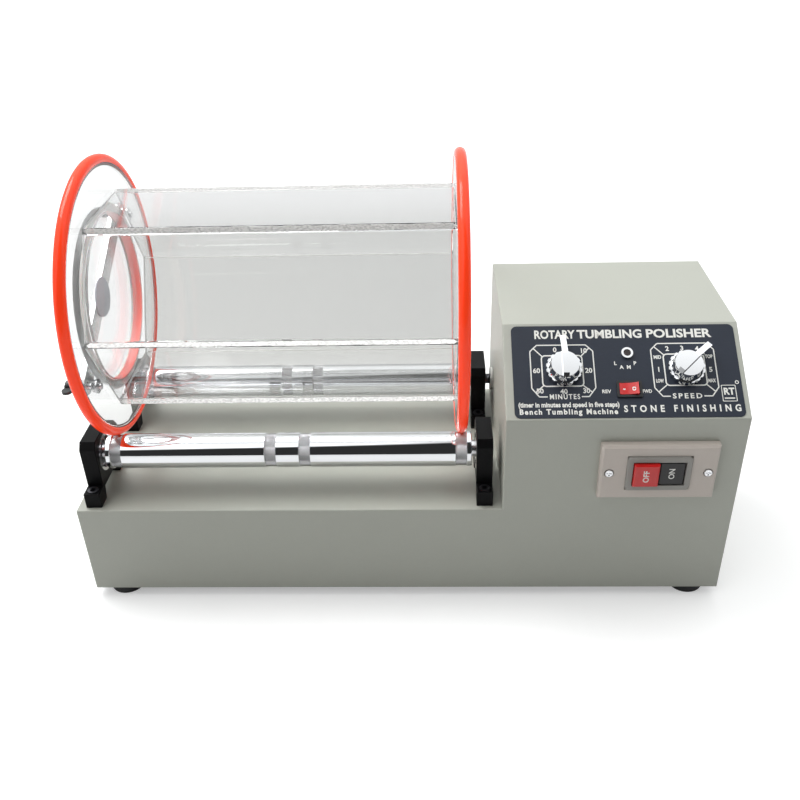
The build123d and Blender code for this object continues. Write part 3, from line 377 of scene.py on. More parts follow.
FINISH = {
    "painted_sheet": grained("powder_coat", (0.41, 0.42, 0.37), 0.42, 1500, 0.28, 0.03, 0.12,
                             Coat_Weight=0.15, Coat_Roughness=0.3),
    "zinc_sheet": metal("zinc_plate", (0.62, 0.64, 0.66), 0.38, 80, 0.05, 0.3, 0.12),
    "black_block": grained("black_enamel", (0.004, 0.004, 0.0045), 0.36, 1100, 0.15, 0.05, 0.1,
                           Specular_IOR_Level=0.08),
    "chrome": metal("chrome_plate", (0.86, 0.87, 0.89), 0.035, 60, 0.01, 0.1),
    "steel": metal("bright_steel", (0.66, 0.66, 0.67), 0.24, 300, 0.05, 0.3),
    "black_steel": metal("blackened_steel", (0.09, 0.09, 0.10), 0.36, 400, 0.08, 0.3),
    "bearing_steel": metal("bearing_steel", (0.74, 0.74, 0.76), 0.16, 200, 0.02, 0.2),
    "aluminium": metal("turned_aluminium", (0.80, 0.81, 0.82), 0.30, 200, 0.05, 0.3),
    "rubber": grained("black_rubber", (0.017, 0.017, 0.018), 0.62, 800, 0.35, 0.1, 0.4),
    # the cord's emission is painted light: a faint red glow that deepens and brightens its colour
    "tyre_red": grained("cord_red", (1.0, 0.055, 0.012), 0.14, 300, 0.02, 0.03, 0.05,
                        Subsurface_Weight=0.25, Subsurface_Scale=0.003,
                        Specular_IOR_Level=0.28, Emission_Color=(1.0, 0.06, 0.018, 1),
                        Emission_Strength=0.22),
    "acrylic": clear_plastic("clear_acrylic", (0.985, 0.99, 0.99)),
    "motor_paint": grained("motor_enamel", (0.05, 0.055, 0.065), 0.4, 900, 0.25, 0.06, 0.3),
    "board_green": grained("board_lacquer", (0.02, 0.16, 0.06), 0.32, 700, 0.08, 0.1, 0.1),
    "black_plastic": grained("black_moulding", (0.014, 0.014, 0.015), 0.36, 1500, 0.2, 0.05, 0.2),
    "grey_plastic": grained("pale_moulding", (0.53, 0.475, 0.43), 0.38, 1500, 0.12, 0.03, 0.1),
    "bezel_grey": grained("switch_frame", (0.27, 0.26, 0.24), 0.35, 1500, 0.12, 0.04, 0.15),
    "red_plastic": grained("red_moulding", (0.56, 0.012, 0.012), 0.22, 900, 0.06, 0.04, 0.1,
                           Coat_Weight=0.3, Coat_Roughness=0.1),
    "lens_dark": grained("lamp_lens", (0.02, 0.012, 0.012), 0.06, 300, 0.02, 0.1, 0.05),
    "label": grained("panel_film", (0.017, 0.023, 0.038), 0.42, 1800, 0.08, 0.08, 0.15,
                     Specular_IOR_Level=0.35),
    "silicone": grained("pale_silicone", (0.70, 0.69, 0.66), 0.35, 700, 0.1, 0.04, 0.1,
                        Subsurface_Weight=0.3, Subsurface_Scale=0.003),
    "pad_grey": grained("grey_pad", (0.52, 0.52, 0.60), 0.5, 900, 0.2, 0.05, 0.1),
    "nylon": grained("white_nylon", (0.78, 0.78, 0.74), 0.45, 700, 0.1, 0.04, 0.1),
}
# this tint sets the walls' shadow; the painted shade below replaces it in the plastic itself
WALL_CLEAR = clear_plastic("wall_acrylic", (0.95, 0.955, 0.955))
SAWN_EDGE = clear_plastic("sawn_acrylic", (0.95, 0.965, 0.965), rough=0.42)
KNURL_CHROME = metal("knurled_chrome", (0.50, 0.50, 0.51), 0.16, 300, 0.05, 0.2)
# painted shade on the barrel walls: where it starts and is full, and the axle height it slants
# about
PAINTED_SHADE_LOW, PAINTED_SHADE_HIGH, BARREL_HIGH = 0.0, 0.08, 0.268


def add_painted_shade(material, lit_tint, shaded_tint):
    """Painted shade dims the lower back of the barrel: the tint follows y - (z - axle height) / 2.
    """
    tree = material.node_tree
    split = add_node(tree, "ShaderNodeSeparateXYZ")
    plug(tree, add_node(tree, "ShaderNodeTexCoord").outputs["Object"], split.inputs[0])
    fall = calc(tree, "MULTIPLY", calc(tree, "SUBTRACT", split.outputs[2], BARREL_HIGH), 0.5)
    share = fade(tree, calc(tree, "SUBTRACT", split.outputs[1], fall), PAINTED_SHADE_LOW, PAINTED_SHADE_HIGH)
    plug(tree, mix_colour(tree, share, (*lit_tint, 1), (*shaded_tint, 1)),
         tree.nodes["Principled BSDF"].inputs["Base Color"])


# painted shade: the barrel walls turn grey towards the lower back
add_painted_shade(WALL_CLEAR, (0.96, 0.96, 0.965), (0.68, 0.683, 0.665))
NODE_SLOT = {s["node"]: s["material_slot"] for s in frame["record"]["subparts"]}


def finish_node(name):
    """Gives a design node the finish of its slot."""
    mesh = NODES[name].data
    mesh.materials.clear()
    mesh.materials.append(FINISH[NODE_SLOT[name]])


for node_name in NODES:
    finish_node(node_name)
print(len(NODES), "design nodes finished")

# %% [markdown]
# Now the pieces that are made again. A turned piece is a profile of (x, radius) pairs carried
# round an axis; a sheet-built piece is an outline carried along a line. Both are grids of points,
# so one function makes the faces for all of them.


# %% mesh helpers
def ring_grid(rows, columns):
    """Quads of a grid of points that closes on itself both ways, like the skin of a tyre."""
    i, j = np.meshgrid(np.arange(rows), np.arange(columns), indexing="ij")
    below, beside = (i + 1) % rows, (j + 1) % columns
    return np.stack([i * columns + j, below * columns + j, below * columns + beside,
                     i * columns + beside], axis=-1).reshape(-1, 4)


def sleeve_grid(rows, columns):
    """The same, but open at its first and last row."""
    return ring_grid(rows, columns)[: (rows - 1) * columns]


def make_piece(name, points, faces, material, body, nodes=(), sharp=30.0):
    """Millimetre points and faces become a closed mesh with outward faces, riding on a body."""
    mesh = bpy.data.meshes.new(name)
    mesh.from_pydata((np.asarray(points, float).reshape(-1, 3) * MM).tolist(), [],
                     np.asarray(faces).tolist())
    skin = bmesh.new()
    skin.from_mesh(mesh)
    bmesh.ops.remove_doubles(skin, verts=skin.verts, dist=1e-7)
    bmesh.ops.recalc_face_normals(skin, faces=skin.faces)
    skin.to_mesh(mesh)
    skin.free()
    if sharp:
        mesh.shade_smooth()
        mesh.set_sharp_from_angle(angle=math.radians(sharp))
    mesh.materials.append(material)
    piece = bpy.data.objects.new(name, mesh)
    bpy.context.scene.collection.objects.link(piece)
    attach(piece, body)
    if nodes:
        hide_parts(*nodes)
    print(name, len(mesh.vertices), "points", len(mesh.polygons), "faces")
    return piece


def turned(profile, centre, count):
    """A profile of (x, radius) turned about an X axis: y = cy + r cos t, z = cz + r sin t."""
    x, radius = np.asarray(profile, float).T
    angle = np.arange(count) / count * TURN
    y = centre[0] + radius[:, None] * np.cos(angle)
    z = centre[1] + radius[:, None] * np.sin(angle)
    return np.stack([np.broadcast_to(x[:, None], y.shape), y, z], axis=-1)


def second_finish(piece, material, test):
    """Gives a second material to the faces that a test on their middles and normals picks."""
    mesh = piece.data
    middle, normal = np.empty(len(mesh.polygons) * 3), np.empty(len(mesh.polygons) * 3)
    mesh.polygons.foreach_get("center", middle)
    mesh.polygons.foreach_get("normal", normal)
    picked = test(middle.reshape(-1, 3) / MM, normal.reshape(-1, 3))
    mesh.materials.append(material)
    mesh.polygons.foreach_set("material_index", picked.astype(np.int32))
    print(piece.name, int(picked.sum()), "faces in", material.name)


def centre_mm(name):
    """The middle of a design node, in millimetres."""
    low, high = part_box(name)
    return (np.array(low) + np.array(high)) / 2 / MM


# %% [markdown]
# The rollers are chromed steel. Each has four bands of diamond knurling that grip the tyres. A
# picture of knurling would never catch the light right, so the diamonds are real: two families
# of grooves cross at a slant, and the height is whichever of the two cuts deeper.

# %% rollers
ROLLER_R, BAND_R, BAND_W, KNURL_DEEP, KNURL_TEETH = 16.0, 15.0, 10.0, 0.55, 42
BAND_OFFSETS = (-157.0, -15.6, 15.6, 157.0)
ROLLER_EDGE, ROLLER_HOLE_R, BAND_BEVEL, KNURL_MARGIN, KNURL_PROUD = 0.7, 7.56, 0.25, 0.35, 0.12
KNURL_CROWN, END_CLEAR, BAND_REACH = 1.25, 3.0, 0.2
KNURL_ROWS, ROLLER_COLUMNS = 34, 336


def saw(value):
    """A triangle wave from 0 to 1 and back over one unit."""
    return 2 * np.abs(value - np.floor(value) - 0.5)


def roller_points(low_x, high_x, mid_x, centre):
    """Rings of a plain bar with knurled bands: r = band - depth x (1 - lower of two saws)."""
    bevel_r = ROLLER_R - BAND_BEVEL
    xs, knurled = [low_x, low_x, low_x + ROLLER_EDGE], [0] * 3
    rs = [ROLLER_HOLE_R, ROLLER_R - ROLLER_EDGE, ROLLER_R]
    for offset in BAND_OFFSETS:
        start, end = mid_x + offset - BAND_W / 2, mid_x + offset + BAND_W / 2
        inner = np.linspace(start + KNURL_MARGIN, end - KNURL_MARGIN, KNURL_ROWS)
        xs += [start - BAND_BEVEL, start, *inner, end, end + BAND_BEVEL]
        rs += [ROLLER_R, bevel_r, *[BAND_R + KNURL_PROUD] * KNURL_ROWS, bevel_r, ROLLER_R]
        knurled += [0, 0, *[1] * KNURL_ROWS, 0, 0]
    xs += [high_x - ROLLER_EDGE, high_x, high_x]
    rs += [ROLLER_R, ROLLER_R - ROLLER_EDGE, ROLLER_HOLE_R]
    knurled += [0] * 3
    x, r, k = np.array(xs), np.array(rs), np.array(knurled)
    angle = np.arange(ROLLER_COLUMNS) / ROLLER_COLUMNS * TURN
    around = KNURL_TEETH * angle / TURN
    along = x / (TURN * BAND_R / KNURL_TEETH)
    height = np.minimum(saw(around[None, :] + along[:, None]),
                        saw(around[None, :] - along[:, None]))
    radius = r[:, None] - k[:, None] * KNURL_DEEP * (1 - np.clip(height * KNURL_CROWN, 0, 1))
    return np.stack([np.broadcast_to(x[:, None], radius.shape), centre[1] + radius * np.cos(angle),
                     centre[2] + radius * np.sin(angle)], axis=-1)


def on_band(low, high):
    """Picks faces near the band radius that lie clear of the roller's ends."""
    mid = (low + high) / 2
    return lambda m, n: ((np.hypot(m[:, 1] - mid[1], m[:, 2] - mid[2]) < BAND_R + BAND_REACH)
                         & (m[:, 0] > low[0] + END_CLEAR) & (m[:, 0] < high[0] - END_CLEAR))


for side in ("front", "rear"):
    node = f"roller_{side}_tube"
    low, high = [np.array(c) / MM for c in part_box(node)]
    grid = roller_points(low[0], high[0], (low[0] + high[0]) / 2, (low + high) / 2)
    roller = make_piece(f"knurled_roller_{side}", grid, ring_grid(*grid.shape[:2]),
                        FINISH["chrome"], f"{side}_roller", (node,))
    second_finish(roller, KNURL_CHROME, on_band(low, high))

# %% [markdown]
# The tyres are round red cord, glued end to end and stretched into the grooves of the end discs.
# The cord is a little uneven, and the joint stands out as a small bead.

# %% tyres
cord_low, cord_high = [np.array(c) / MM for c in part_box("left_tyre")]
CORD_R = (cord_high[0] - cord_low[0]) / 2
TYRE_R = (cord_high[1] - cord_low[1]) / 2 - CORD_R
BEAD_ANGLE, BEAD_WIDTH, BEAD_HEIGHT, WAVE, CORD_GAP = -1.92, 0.018, 0.32, 0.035, 0.06
print("cord radius", round(CORD_R, 2), "ring radius", round(TYRE_R, 2))


def tyre_points(centre, seed, around=320, across=28):
    """A ring of cord: the cord's radius has slow waves and a bell-shaped bead at the joint."""
    t = np.arange(around)[:, None] / around * TURN
    s = np.arange(across)[None, :] / across * TURN
    shift = np.random.default_rng(seed).uniform(0, TURN, 3)
    uneven = sum(WAVE * np.sin(n * t + a) for n, a in zip((3, 7, 12), shift))
    gap = (t - BEAD_ANGLE + math.pi) % TURN - math.pi
    bead = BEAD_HEIGHT * np.exp(-(gap / BEAD_WIDTH) ** 2) * np.clip(np.cos(s) + 0.3, 0, 1)
    cord = CORD_R - CORD_GAP + uneven * np.clip(np.cos(s), 0, 1) + bead
    radius = TYRE_R + cord * np.cos(s)
    return np.stack([centre[0] + cord * np.sin(s), centre[1] + radius * np.cos(t),
                     centre[2] + radius * np.sin(t)], axis=-1)


for seed, side in enumerate(("left", "right")):
    grid = tyre_points(centre_mm(f"{side}_tyre"), seed)
    make_piece(f"cord_tyre_{side}", grid, ring_grid(*grid.shape[:2]), FINISH["tyre_red"],
               "barrel", (f"{side}_tyre",), sharp=60.0)

# %% [markdown]
# The barrel is clear sheet. Clear things must be closed solids with their true thickness, or
# light bends wrongly, and two solids must never share a face, so each is a few hundredths of a
# millimetre smaller than its design. The six walls are one tube whose corners are slightly
# rounded outside and filled with a bead of cement inside. Sawn and cemented ends scatter light, so
# they have a rougher skin than the polished sheet.

# %% barrel tube
WALL_T, CORNER_ROUND, CEMENT_ROUND, CUT_EDGE, CLEAR_GAP = 8.0, 0.9, 2.2, 0.5, 0.05
SIXTH = TURN / 6


def hexagon(corner_radius, rounding, steps=7):
    """Six rounded corners: each is an arc about a point pulled in by rounding / sin 60."""
    corner = np.repeat(np.arange(6) * SIXTH, steps)
    swing = np.tile(np.linspace(-0.5, 0.5, steps) * SIXTH, 6)
    inset = corner_radius - rounding / math.sin(SIXTH)
    return np.stack([np.cos(corner) * inset + np.cos(corner + swing) * rounding,
                     np.sin(corner) * inset + np.sin(corner + swing) * rounding], axis=-1)


walls_low, walls_high = [np.array(c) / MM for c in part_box("barrel_walls")]
AXLE = centre_mm("right_disc")
HEX_R = (walls_high[1] - walls_low[1]) / 2
HEX_IN_R = HEX_R - WALL_T / math.cos(SIXTH / 2)


def tube_points(low_x, high_x):
    """Outlines carried along X: outer skin there, inner skin back, with small cut edges."""
    rows = [(low_x, HEX_R - CUT_EDGE, CORNER_ROUND), (low_x + CUT_EDGE, HEX_R, CORNER_ROUND),
            (high_x - CUT_EDGE, HEX_R, CORNER_ROUND), (high_x, HEX_R - CUT_EDGE, CORNER_ROUND),
            (high_x, HEX_IN_R, CEMENT_ROUND), (low_x, HEX_IN_R, CEMENT_ROUND)]
    rings = []
    for x, radius, rounding in rows:
        outline = hexagon(radius, rounding) + AXLE[1:]
        rings.append(np.column_stack([np.full(len(outline), x), outline]))
    return np.array(rings)


grid = tube_points(walls_low[0] + CLEAR_GAP, walls_high[0] - CLEAR_GAP)
tube = make_piece("hexagon_tube", grid, ring_grid(*grid.shape[:2]), WALL_CLEAR, "barrel",
                  ("barrel_walls",), sharp=None)
second_finish(tube, SAWN_EDGE, lambda m, n: np.abs(n[:, 0]) > 0.9)

# %% [markdown]
# The end discs are turned profiles: a hollow rim that holds the cord and, on the left, the round
# door hole. The right disc has no hole, so its profile starts and ends on the axis.

# %% end discs and lid
DOOR_R, DISC_T, DISC_COUNT, POLISHED_EDGE = 70.0, 9.0, 180, 0.6


def rim_profile(mid_x, half_t):
    """The rim from the inner face to the outer: an arc cut in by the cord, R - sqrt(c2 - x2)."""
    x = np.linspace(half_t, -half_t, 13)
    return [(mid_x + v, TYRE_R - math.sqrt((CORD_R + CORD_GAP) ** 2 - v * v)) for v in x]


left_x, right_x = centre_mm("left_disc")[0], centre_mm("right_disc")[0]
HALF_T = (DISC_T - CLEAR_GAP) / 2
e = POLISHED_EDGE
left_profile = [(left_x - HALF_T, DOOR_R + e), (left_x - HALF_T + e, DOOR_R),
                (left_x + HALF_T - e, DOOR_R), (left_x + HALF_T, DOOR_R + e),
                *rim_profile(left_x, HALF_T)]
grid = turned(left_profile, AXLE[1:], DISC_COUNT)
door_disc = make_piece("door_disc", grid, ring_grid(*grid.shape[:2]), FINISH["acrylic"], "barrel",
                       ("left_disc",))
second_finish(door_disc, SAWN_EDGE, lambda m, n: (np.abs(n[:, 0]) < 0.9)
              & (np.hypot(m[:, 1] - AXLE[1], m[:, 2] - AXLE[2]) < DOOR_R + 2))
right_profile = [(right_x + HALF_T, 0), *rim_profile(right_x, HALF_T), (right_x - HALF_T, 0)]
grid = turned(right_profile, AXLE[1:], DISC_COUNT)
make_piece("end_disc", grid, sleeve_grid(*grid.shape[:2]), FINISH["acrylic"], "barrel",
           ("right_disc",))
lid_low, lid_high = [np.array(c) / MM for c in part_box("lid")]
LID_R = (lid_high[1] - lid_low[1]) / 2
x0, x1 = lid_low[0] + CLEAR_GAP, lid_high[0] - CLEAR_GAP
lid_profile = [(x1, 0), (x1, LID_R - e), (x1 - e, LID_R),
               (x0 + e, LID_R), (x0, LID_R - e), (x0, 0)]
grid = turned(lid_profile, AXLE[1:], DISC_COUNT)
door_lid = make_piece("door_lid", grid, sleeve_grid(*grid.shape[:2]), FINISH["acrylic"], "lid",
                      ("lid",))
second_finish(door_lid, SAWN_EDGE, lambda m, n: np.abs(n[:, 0]) < 0.9)

# %% [markdown]
# Cemented acrylic is never perfect: the joints trap strings of tiny air bubbles, and those white
# specks are what make the seams visible. Each bubble is a small eight-sided grain stretched along
# the seam, and all of them are placed at once.

# %% bubbles in the seams
OCTAHEDRON = np.array([(1, 0, 0), (-1, 0, 0), (0, 1, 0), (0, -1, 0), (0, 0, 1), (0, 0, -1)], float)
OCTA_FACES = np.array([(0, 2, 4), (2, 1, 4), (1, 3, 4), (3, 0, 4),
                       (2, 0, 5), (1, 2, 5), (3, 1, 5), (0, 3, 5)])
BUBBLES_PER_SEAM, SEAM_DEPTHS, DEPTH_SPREAD = 150, (0.12, 0.88), 0.25


def bubble_cloud(count, seed):
    """Grains on the six corner planes: x anywhere, radius near either skin, size 0.1 to 0.4."""
    rng = np.random.default_rng(seed)
    seam = rng.integers(0, 6, count)
    deep = (HEX_IN_R + (HEX_R - HEX_IN_R) * rng.choice(SEAM_DEPTHS, count)
            + rng.normal(0, DEPTH_SPREAD, count))
    x = rng.uniform(walls_low[0] + 2, walls_high[0] - 2, count)
    size = 0.10 + 0.30 * rng.random(count) ** 3
    middle = np.stack([x, AXLE[1] + deep * np.cos(seam * SIXTH),
                       AXLE[2] + deep * np.sin(seam * SIXTH)], -1)
    stretch = np.stack([size * rng.uniform(1.0, 4.0, count), size, size], -1)
    points = middle[:, None, :] + OCTAHEDRON[None] * stretch[:, None, :]
    faces = OCTA_FACES[None] + 6 * np.arange(count)[:, None, None]
    return points, faces.reshape(-1, 3)


points, faces = bubble_cloud(6 * BUBBLES_PER_SEAM, 4)
# the bubbles are real; their opaque white is painted reflection, in place of the sparkle of trapped
# air
bubble_white = grained("trapped_air", (0.93, 0.94, 0.95), 0.3, 400, 0.02, 0.02, 0.0)
make_piece("seam_bubbles", points, faces, bubble_white, "barrel", (), sharp=None)

# %% [markdown]
# The cement itself fills each mitred corner as a thin, cloudy sheet with ragged edges. It stops
# light from running along inside the wall, so the seams read white and not black.

# %% cement in the seams
CEMENT_STEPS, CEMENT_HALF, CEMENT_INSET, RAGGED = 140, 0.14, 1.0, 0.16


def cement_strip(seam, seed):
    """A thin bar on a corner plane; its edges wander as sums of sines and its ends are points."""
    rng = np.random.default_rng(seed)
    x = np.linspace(walls_low[0] + 0.8, walls_high[0] - 0.8, CEMENT_STEPS)
    waves = [sum(RAGGED * np.sin(f * x / 40 + a)
                 for f, a in zip((3, 7, 17), rng.uniform(0, TURN, 3))) for _ in range(2)]
    inner, outer = HEX_IN_R + CEMENT_INSET + waves[0], HEX_R - CEMENT_INSET + waves[1]
    corners = ((inner, -1), (outer, -1), (outer, 1), (inner, 1))
    a = seam * SIXTH
    rings = np.stack([np.stack([x, AXLE[1] + r * math.cos(a) - side * CEMENT_HALF * math.sin(a),
                                AXLE[2] + r * math.sin(a) + side * CEMENT_HALF * math.cos(a)], -1)
                      for r, side in corners], axis=1)
    rings[0], rings[-1] = rings[0].mean(axis=0), rings[-1].mean(axis=0)
    return rings


def cloudy_cement():
    """White cement whose thickness, and so its cover, comes and goes along the seam."""
    material, tree, shader = start_material("cloudy_cement")
    where = add_node(tree, "ShaderNodeTexCoord").outputs["Object"]
    cloud = add_node(tree, "ShaderNodeTexNoise", Scale=420.0, Detail=3.0, Roughness=0.6)
    plug(tree, where, cloud.inputs["Vector"])
    plug(tree, fade(tree, cloud.outputs["Fac"], 0.35, 0.6, 0.6, 0.97), shader.inputs["Alpha"])
    shader.inputs["Base Color"].default_value = (0.86, 0.855, 0.84, 1)
    shader.inputs["Roughness"].default_value = 0.5
    # painted light: a faint glow keeps the cement white where little lamp light reaches it
    shader.inputs["Emission Color"].default_value = (0.95, 0.94, 0.92, 1)
    shader.inputs["Emission Strength"].default_value = 0.16
    return material


strips = np.stack([cement_strip(seam, 20 + seam) for seam in range(6)])
quads = np.concatenate([sleeve_grid(CEMENT_STEPS, 4) + k * CEMENT_STEPS * 4 for k in range(6)])
make_piece("seam_cement", strips, quads, cloudy_cement(), "barrel", (), sharp=None)

# %% [markdown]
# The printing on the panel is white ink. Ink has almost no thickness, but a little makes it sit
# on the film instead of fighting with it. The dial frames are bands between two rounded outlines,
# and the figures are text turned into a mesh and laid on the slope of the panel.

# %% panel printing
PANEL_ORIGIN = np.array([91.0, -104.0, 198.0])
PANEL_V = np.array([0.0, 75.0, 52.0]) / math.hypot(75.0, 52.0)
PANEL_U = np.array([1.0, 0.0, 0.0])
PANEL_N = np.cross(PANEL_U, PANEL_V)
FILM_T, INK_T = 0.5, 0.06
ROCKER = (105.0, 27.5)


def on_panel(flat, height):
    """Panel coordinates (u along, v up the slope) and a height become points in space."""
    flat = np.asarray(flat, float)
    return PANEL_ORIGIN + flat[..., :1] * PANEL_U + flat[..., 1:2] * PANEL_V + height * PANEL_N


def rounded_box(u0, v0, u1, v1, rounding, steps=5):
    """The outline of a box with arcs for corners, anticlockwise."""
    centres = np.array([(u1 - rounding, v1 - rounding), (u0 + rounding, v1 - rounding),
                        (u0 + rounding, v0 + rounding), (u1 - rounding, v0 + rounding)])
    angle = (np.arange(4)[:, None] + np.linspace(0, 1, steps)) * TURN / 4
    arc = np.stack([np.cos(angle), np.sin(angle)], -1) * rounding
    return (centres[:, None, :] + arc).reshape(-1, 2)


class Ink:
    """Collects bands and strokes of ink until they are made one mesh."""

    def __init__(self):
        self.points, self.faces, self.count = [], [], 0

    def band(self, outer, inner):
        """A closed band of ink between two outlines with equal numbers of points."""
        low, high = FILM_T - 0.01, FILM_T + INK_T
        rings = np.array([on_panel(outer, low), on_panel(outer, high),
                          on_panel(inner, high), on_panel(inner, low)])
        self.points.append(rings.reshape(-1, 3))
        self.faces.append(ring_grid(*rings.shape[:2]) + self.count)
        self.count += rings.shape[0] * rings.shape[1]

    def stroke(self, start, end, width):
        """A straight stroke: a four-cornered outline and its copy shrunk to the middle line."""
        start, end = np.array(start, float), np.array(end, float)
        along = (end - start) / np.linalg.norm(end - start)
        side = np.array([-along[1], along[0]]) * width / 2
        outer = np.array([start - side, end - side, end + side, start + side])
        inner = np.array([start, end, end, start]) + np.array([along, -along, -along, along]) * 0.01
        self.band(outer, inner)

    def mesh(self):
        """All the ink so far as points and faces."""
        return np.concatenate(self.points), np.concatenate(self.faces)


ink = Ink()


def path(points, width):
    """Strokes through a row of points."""
    for start, end in zip(points[:-1], points[1:]):
        ink.stroke(start, end, width)


def box_middle(frame_box):
    """The middle of a frame given by its low and high corners."""
    return ((frame_box[0] + frame_box[2]) / 2, (frame_box[1] + frame_box[3]) / 2)


LINE_W, FRAME_W, CORNER_CUT, TIE_START = 1.0, 1.1, 6.0, 1.2
FRAME_ROUND, FRAME_ROUND_IN = 3.6, 2.6


def dial_frame(outer, inner, gap):
    """An outer line with cut corners that stops for its caption, an inner frame, and four ties."""
    u0, v0, u1, v1 = outer
    cut, w = CORNER_CUT, FRAME_W
    path([(gap[0], v0), (u0 + cut, v0), (u0, v0 + cut + 2), (u0, v1 - cut), (u0 + cut, v1),
          (u1 - cut, v1), (u1, v1 - cut), (u1, v0 + cut + 2), (u1 - cut, v0), (gap[1], v0)], LINE_W)
    ink.band(rounded_box(*inner, FRAME_ROUND),
             rounded_box(inner[0] + w, inner[1] + w, inner[2] - w, inner[3] - w, FRAME_ROUND_IN))
    for near, far in (((inner[0], inner[1]), (u0 + cut / 2, v0 + cut / 2 + 1)),
                      ((inner[2], inner[1]), (u1 - cut / 2, v0 + cut / 2 + 1)),
                      ((inner[0], inner[3]), (u0 + cut / 2, v1 - cut / 2)),
                      ((inner[2], inner[3]), (u1 - cut / 2, v1 - cut / 2))):
        near = np.array(near) + TIE_START * np.sign(np.array(box_middle(inner)) - near)
        ink.stroke(near, far, LINE_W)


dial_frame(outer=(23.0, 21.2, 77.0, 70.0), inner=(32.0, 30.4, 67.8, 60.4), gap=(36.0, 64.6))
dial_frame(outer=(126.5, 20.8, 180.0, 70.5), inner=(136.0, 30.2, 171.5, 60.8), gap=(139.0, 167.0))
circle = np.stack([np.cos(np.arange(20) / 20 * TURN), np.sin(np.arange(20) / 20 * TURN)], -1)
ink.band(rounded_box(181.8, 15.6, 194.0, 30.8, 0.8), rounded_box(182.4, 16.2, 193.4, 30.2, 0.5))
path([(183.6, 18.6), (192.2, 18.6)], 1.1)
ink.band(circle * 1.7 + (195.6, 33.2), circle * 1.0 + (195.6, 33.2))
points, faces = ink.mesh()
make_piece("panel_lines", points, faces, FINISH["nylon"], "frame", (), sharp=None)

# %% [markdown]
# Figures and plain words come from Blender's own font. Each is drawn flat, thickened by a hair,
# made a mesh and then laid in place, and all of them are joined in one piece.


# %% lettering
def letter_matrix(origin, across, up, out):
    """A matrix whose columns are the direction of reading, up and out of the surface."""
    turn = Matrix((across, up, out)).transposed().to_4x4()
    return Matrix.Translation(Vector(origin) * MM) @ turn


def lay_words(skin, words, size, matrix, weight=0.0, spacing=1.0, width=None):
    """Adds words of a height in millimetres, fitted to a width if given, to a mesh in hand."""
    curve = bpy.data.curves.new("words", "FONT")
    curve.body, curve.size = words, size * MM
    curve.extrude, curve.offset = INK_T / 2 * MM, weight * MM
    curve.align_x, curve.align_y = "CENTER", "CENTER"
    curve.space_character, curve.resolution_u = spacing, 3
    holder = bpy.data.objects.new("words", curve)
    bpy.context.scene.collection.objects.link(holder)
    graph = bpy.context.evaluated_depsgraph_get()
    flat = bpy.data.meshes.new_from_object(holder.evaluated_get(graph))
    stretch = width * MM / holder.dimensions.x if width else 1.0
    flat.transform(matrix @ Matrix.Diagonal((stretch, 1.0, 1.0, 1.0)))
    skin.from_mesh(flat)
    bpy.data.objects.remove(holder)
    bpy.data.curves.remove(curve)
    bpy.data.meshes.remove(flat)


def panel_words(skin, words, uv, size, **style):
    """Words on the sloping panel."""
    place = on_panel(np.array(uv), FILM_T + INK_T / 2)
    lay_words(skin, words, size, letter_matrix(place, PANEL_U, PANEL_V, PANEL_N), **style)


def finish_words(name, skin, body, material):
    """Closes the mesh in hand as one piece."""
    mesh = bpy.data.meshes.new(name)
    bmesh.ops.remove_doubles(skin, verts=skin.verts, dist=1e-7)
    skin.to_mesh(mesh)
    skin.free()
    mesh.materials.append(material)
    piece = bpy.data.objects.new(name, mesh)
    bpy.context.scene.collection.objects.link(piece)
    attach(piece, body)
    print(name, len(mesh.polygons), "faces")


TIMER_FIGURES = (("0", 44.5, 65.3), ("10", 69.0, 64.2), ("20", 72.2, 45.3), ("30", 69.0, 26.4),
                 ("40", 50.0, 25.9), ("50", 29.8, 26.4), ("60", 27.8, 45.5))
SPEED_FIGURES = (("1", 131.6, 45.6), ("2", 140.7, 65.3), ("3", 153.3, 65.6), ("4", 166.0, 65.0),
                 ("5", 175.4, 45.1))
SMALL_WORDS = (("LOW", 131.4, 35.0), ("MID", 131.6, 57.3), ("TOP", 175.2, 57.5),
               ("MAX", 175.0, 34.8), ("L", 95.3, 51.9), ("A", 100.4, 48.2), ("M", 106.5, 48.1),
               ("P", 111.9, 51.8))
TITLE = (("ROTARY", 27.2, 62.4), ("TUMBLING", 64.8, 120.6), ("POLISHER", 123.6, 179.4))
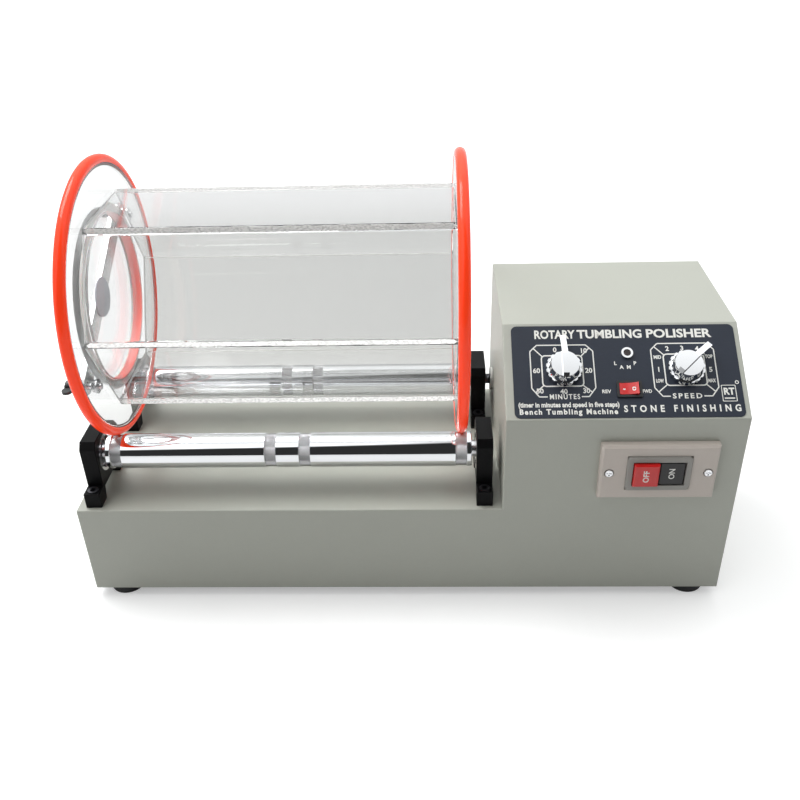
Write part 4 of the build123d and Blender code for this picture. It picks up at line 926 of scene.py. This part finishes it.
# words, middle on the panel, height, width, weight of the strokes, letter spacing
LINES = (("MINUTES", (50.4, 21.0), 6.4, 25.5, 0.16, 1.3),
         ("SPEED", (153.0, 20.8), 6.4, 24.5, 0.16, 1.4),
         ("(timer in minutes and speed in five steps)", (53.2, 13.6), 6.2, 84.5, 0.2, 1.0),
         ("Bench Tumbling Machine", (52.6, 7.2), 6.6, 82.0, 0.24, 1.3),
         ("STONE FINISHING", (147.6, 9.4), 8.4, 97.0, 0.26, 1.8),
         ("REV", (85.7, 25.6), 4.4, 7.6, 0.12, 1.0), ("FWD", (119.9, 25.5), 4.4, 7.6, 0.12, 1.0),
         ("RT", (187.9, 24.6), 8.6, 9.0, 0.3, 1.0))
skin = bmesh.new()
for words, u, v in TIMER_FIGURES + SPEED_FIGURES:
    panel_words(skin, words, (u, v), 6.2, weight=0.16)
for words, u, v in SMALL_WORDS:
    panel_words(skin, words, (u, v), 4.6, weight=0.16, width=6.4 if len(words) > 1 else None)
for words, low_u, high_u in TITLE:
    panel_words(skin, words, ((low_u + high_u) / 2, 79.9), 11.2, weight=0.34,
                width=high_u - low_u)
for words, middle, size, width, weight, spacing in LINES:
    panel_words(skin, words, middle, size, weight=weight, spacing=spacing, width=width)
finish_words("panel_figures", skin, "frame", FINISH["nylon"])

# %% [markdown]
# The two push buttons carry their words along the direction of travel, so they read upwards.
# Each word is a piece of its own, because it has to move with its own button.

# %% button words
for name, words in (("off_button", "OFF"), ("on_button", "ON")):
    low, high = [np.array(c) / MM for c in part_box(name)]
    skin = bmesh.new()
    place = ((low[0] + high[0]) / 2, low[1] - INK_T / 4, (low[2] + high[2]) / 2)
    lay_words(skin, words, 7.0, letter_matrix(place, (0, 0, 1), (-1, 0, 0), (0, -1, 0)),
              weight=0.12)
    finish_words(f"{name}_word", skin, name, FINISH["nylon"])

# %% [markdown]
# The direction rocker carries a bar and a ring. Its face is a shallow hollow, tilted to one side,
# so each mark is laid at its own slope: a point s along the face turns by
# asin(s / hollow radius).

# %% rocker marks
ROCKER_TILT, HOLLOW_R, HOLLOW_LOW = math.radians(8.0), 27.27, 2.4
skin = bmesh.new()
along = PANEL_U * math.cos(ROCKER_TILT) + PANEL_N * math.sin(ROCKER_TILT)
out = PANEL_N * math.cos(ROCKER_TILT) - PANEL_U * math.sin(ROCKER_TILT)
for words, s in (("-", -4.2), ("o", 4.0)):
    slope = math.asin(s / HOLLOW_R)
    place = (on_panel(np.array(ROCKER), 0.0) + along * s
             + out * (HOLLOW_LOW + HOLLOW_R * (1 - math.cos(slope)) + INK_T / 4))
    across = along * math.cos(slope) + out * math.sin(slope)
    lay_words(skin, words, 7.0, letter_matrix(place, across, PANEL_V, np.cross(across, PANEL_V)),
              weight=0.2)
finish_words("rocker_marks", skin, "direction_rocker", FINISH["nylon"])
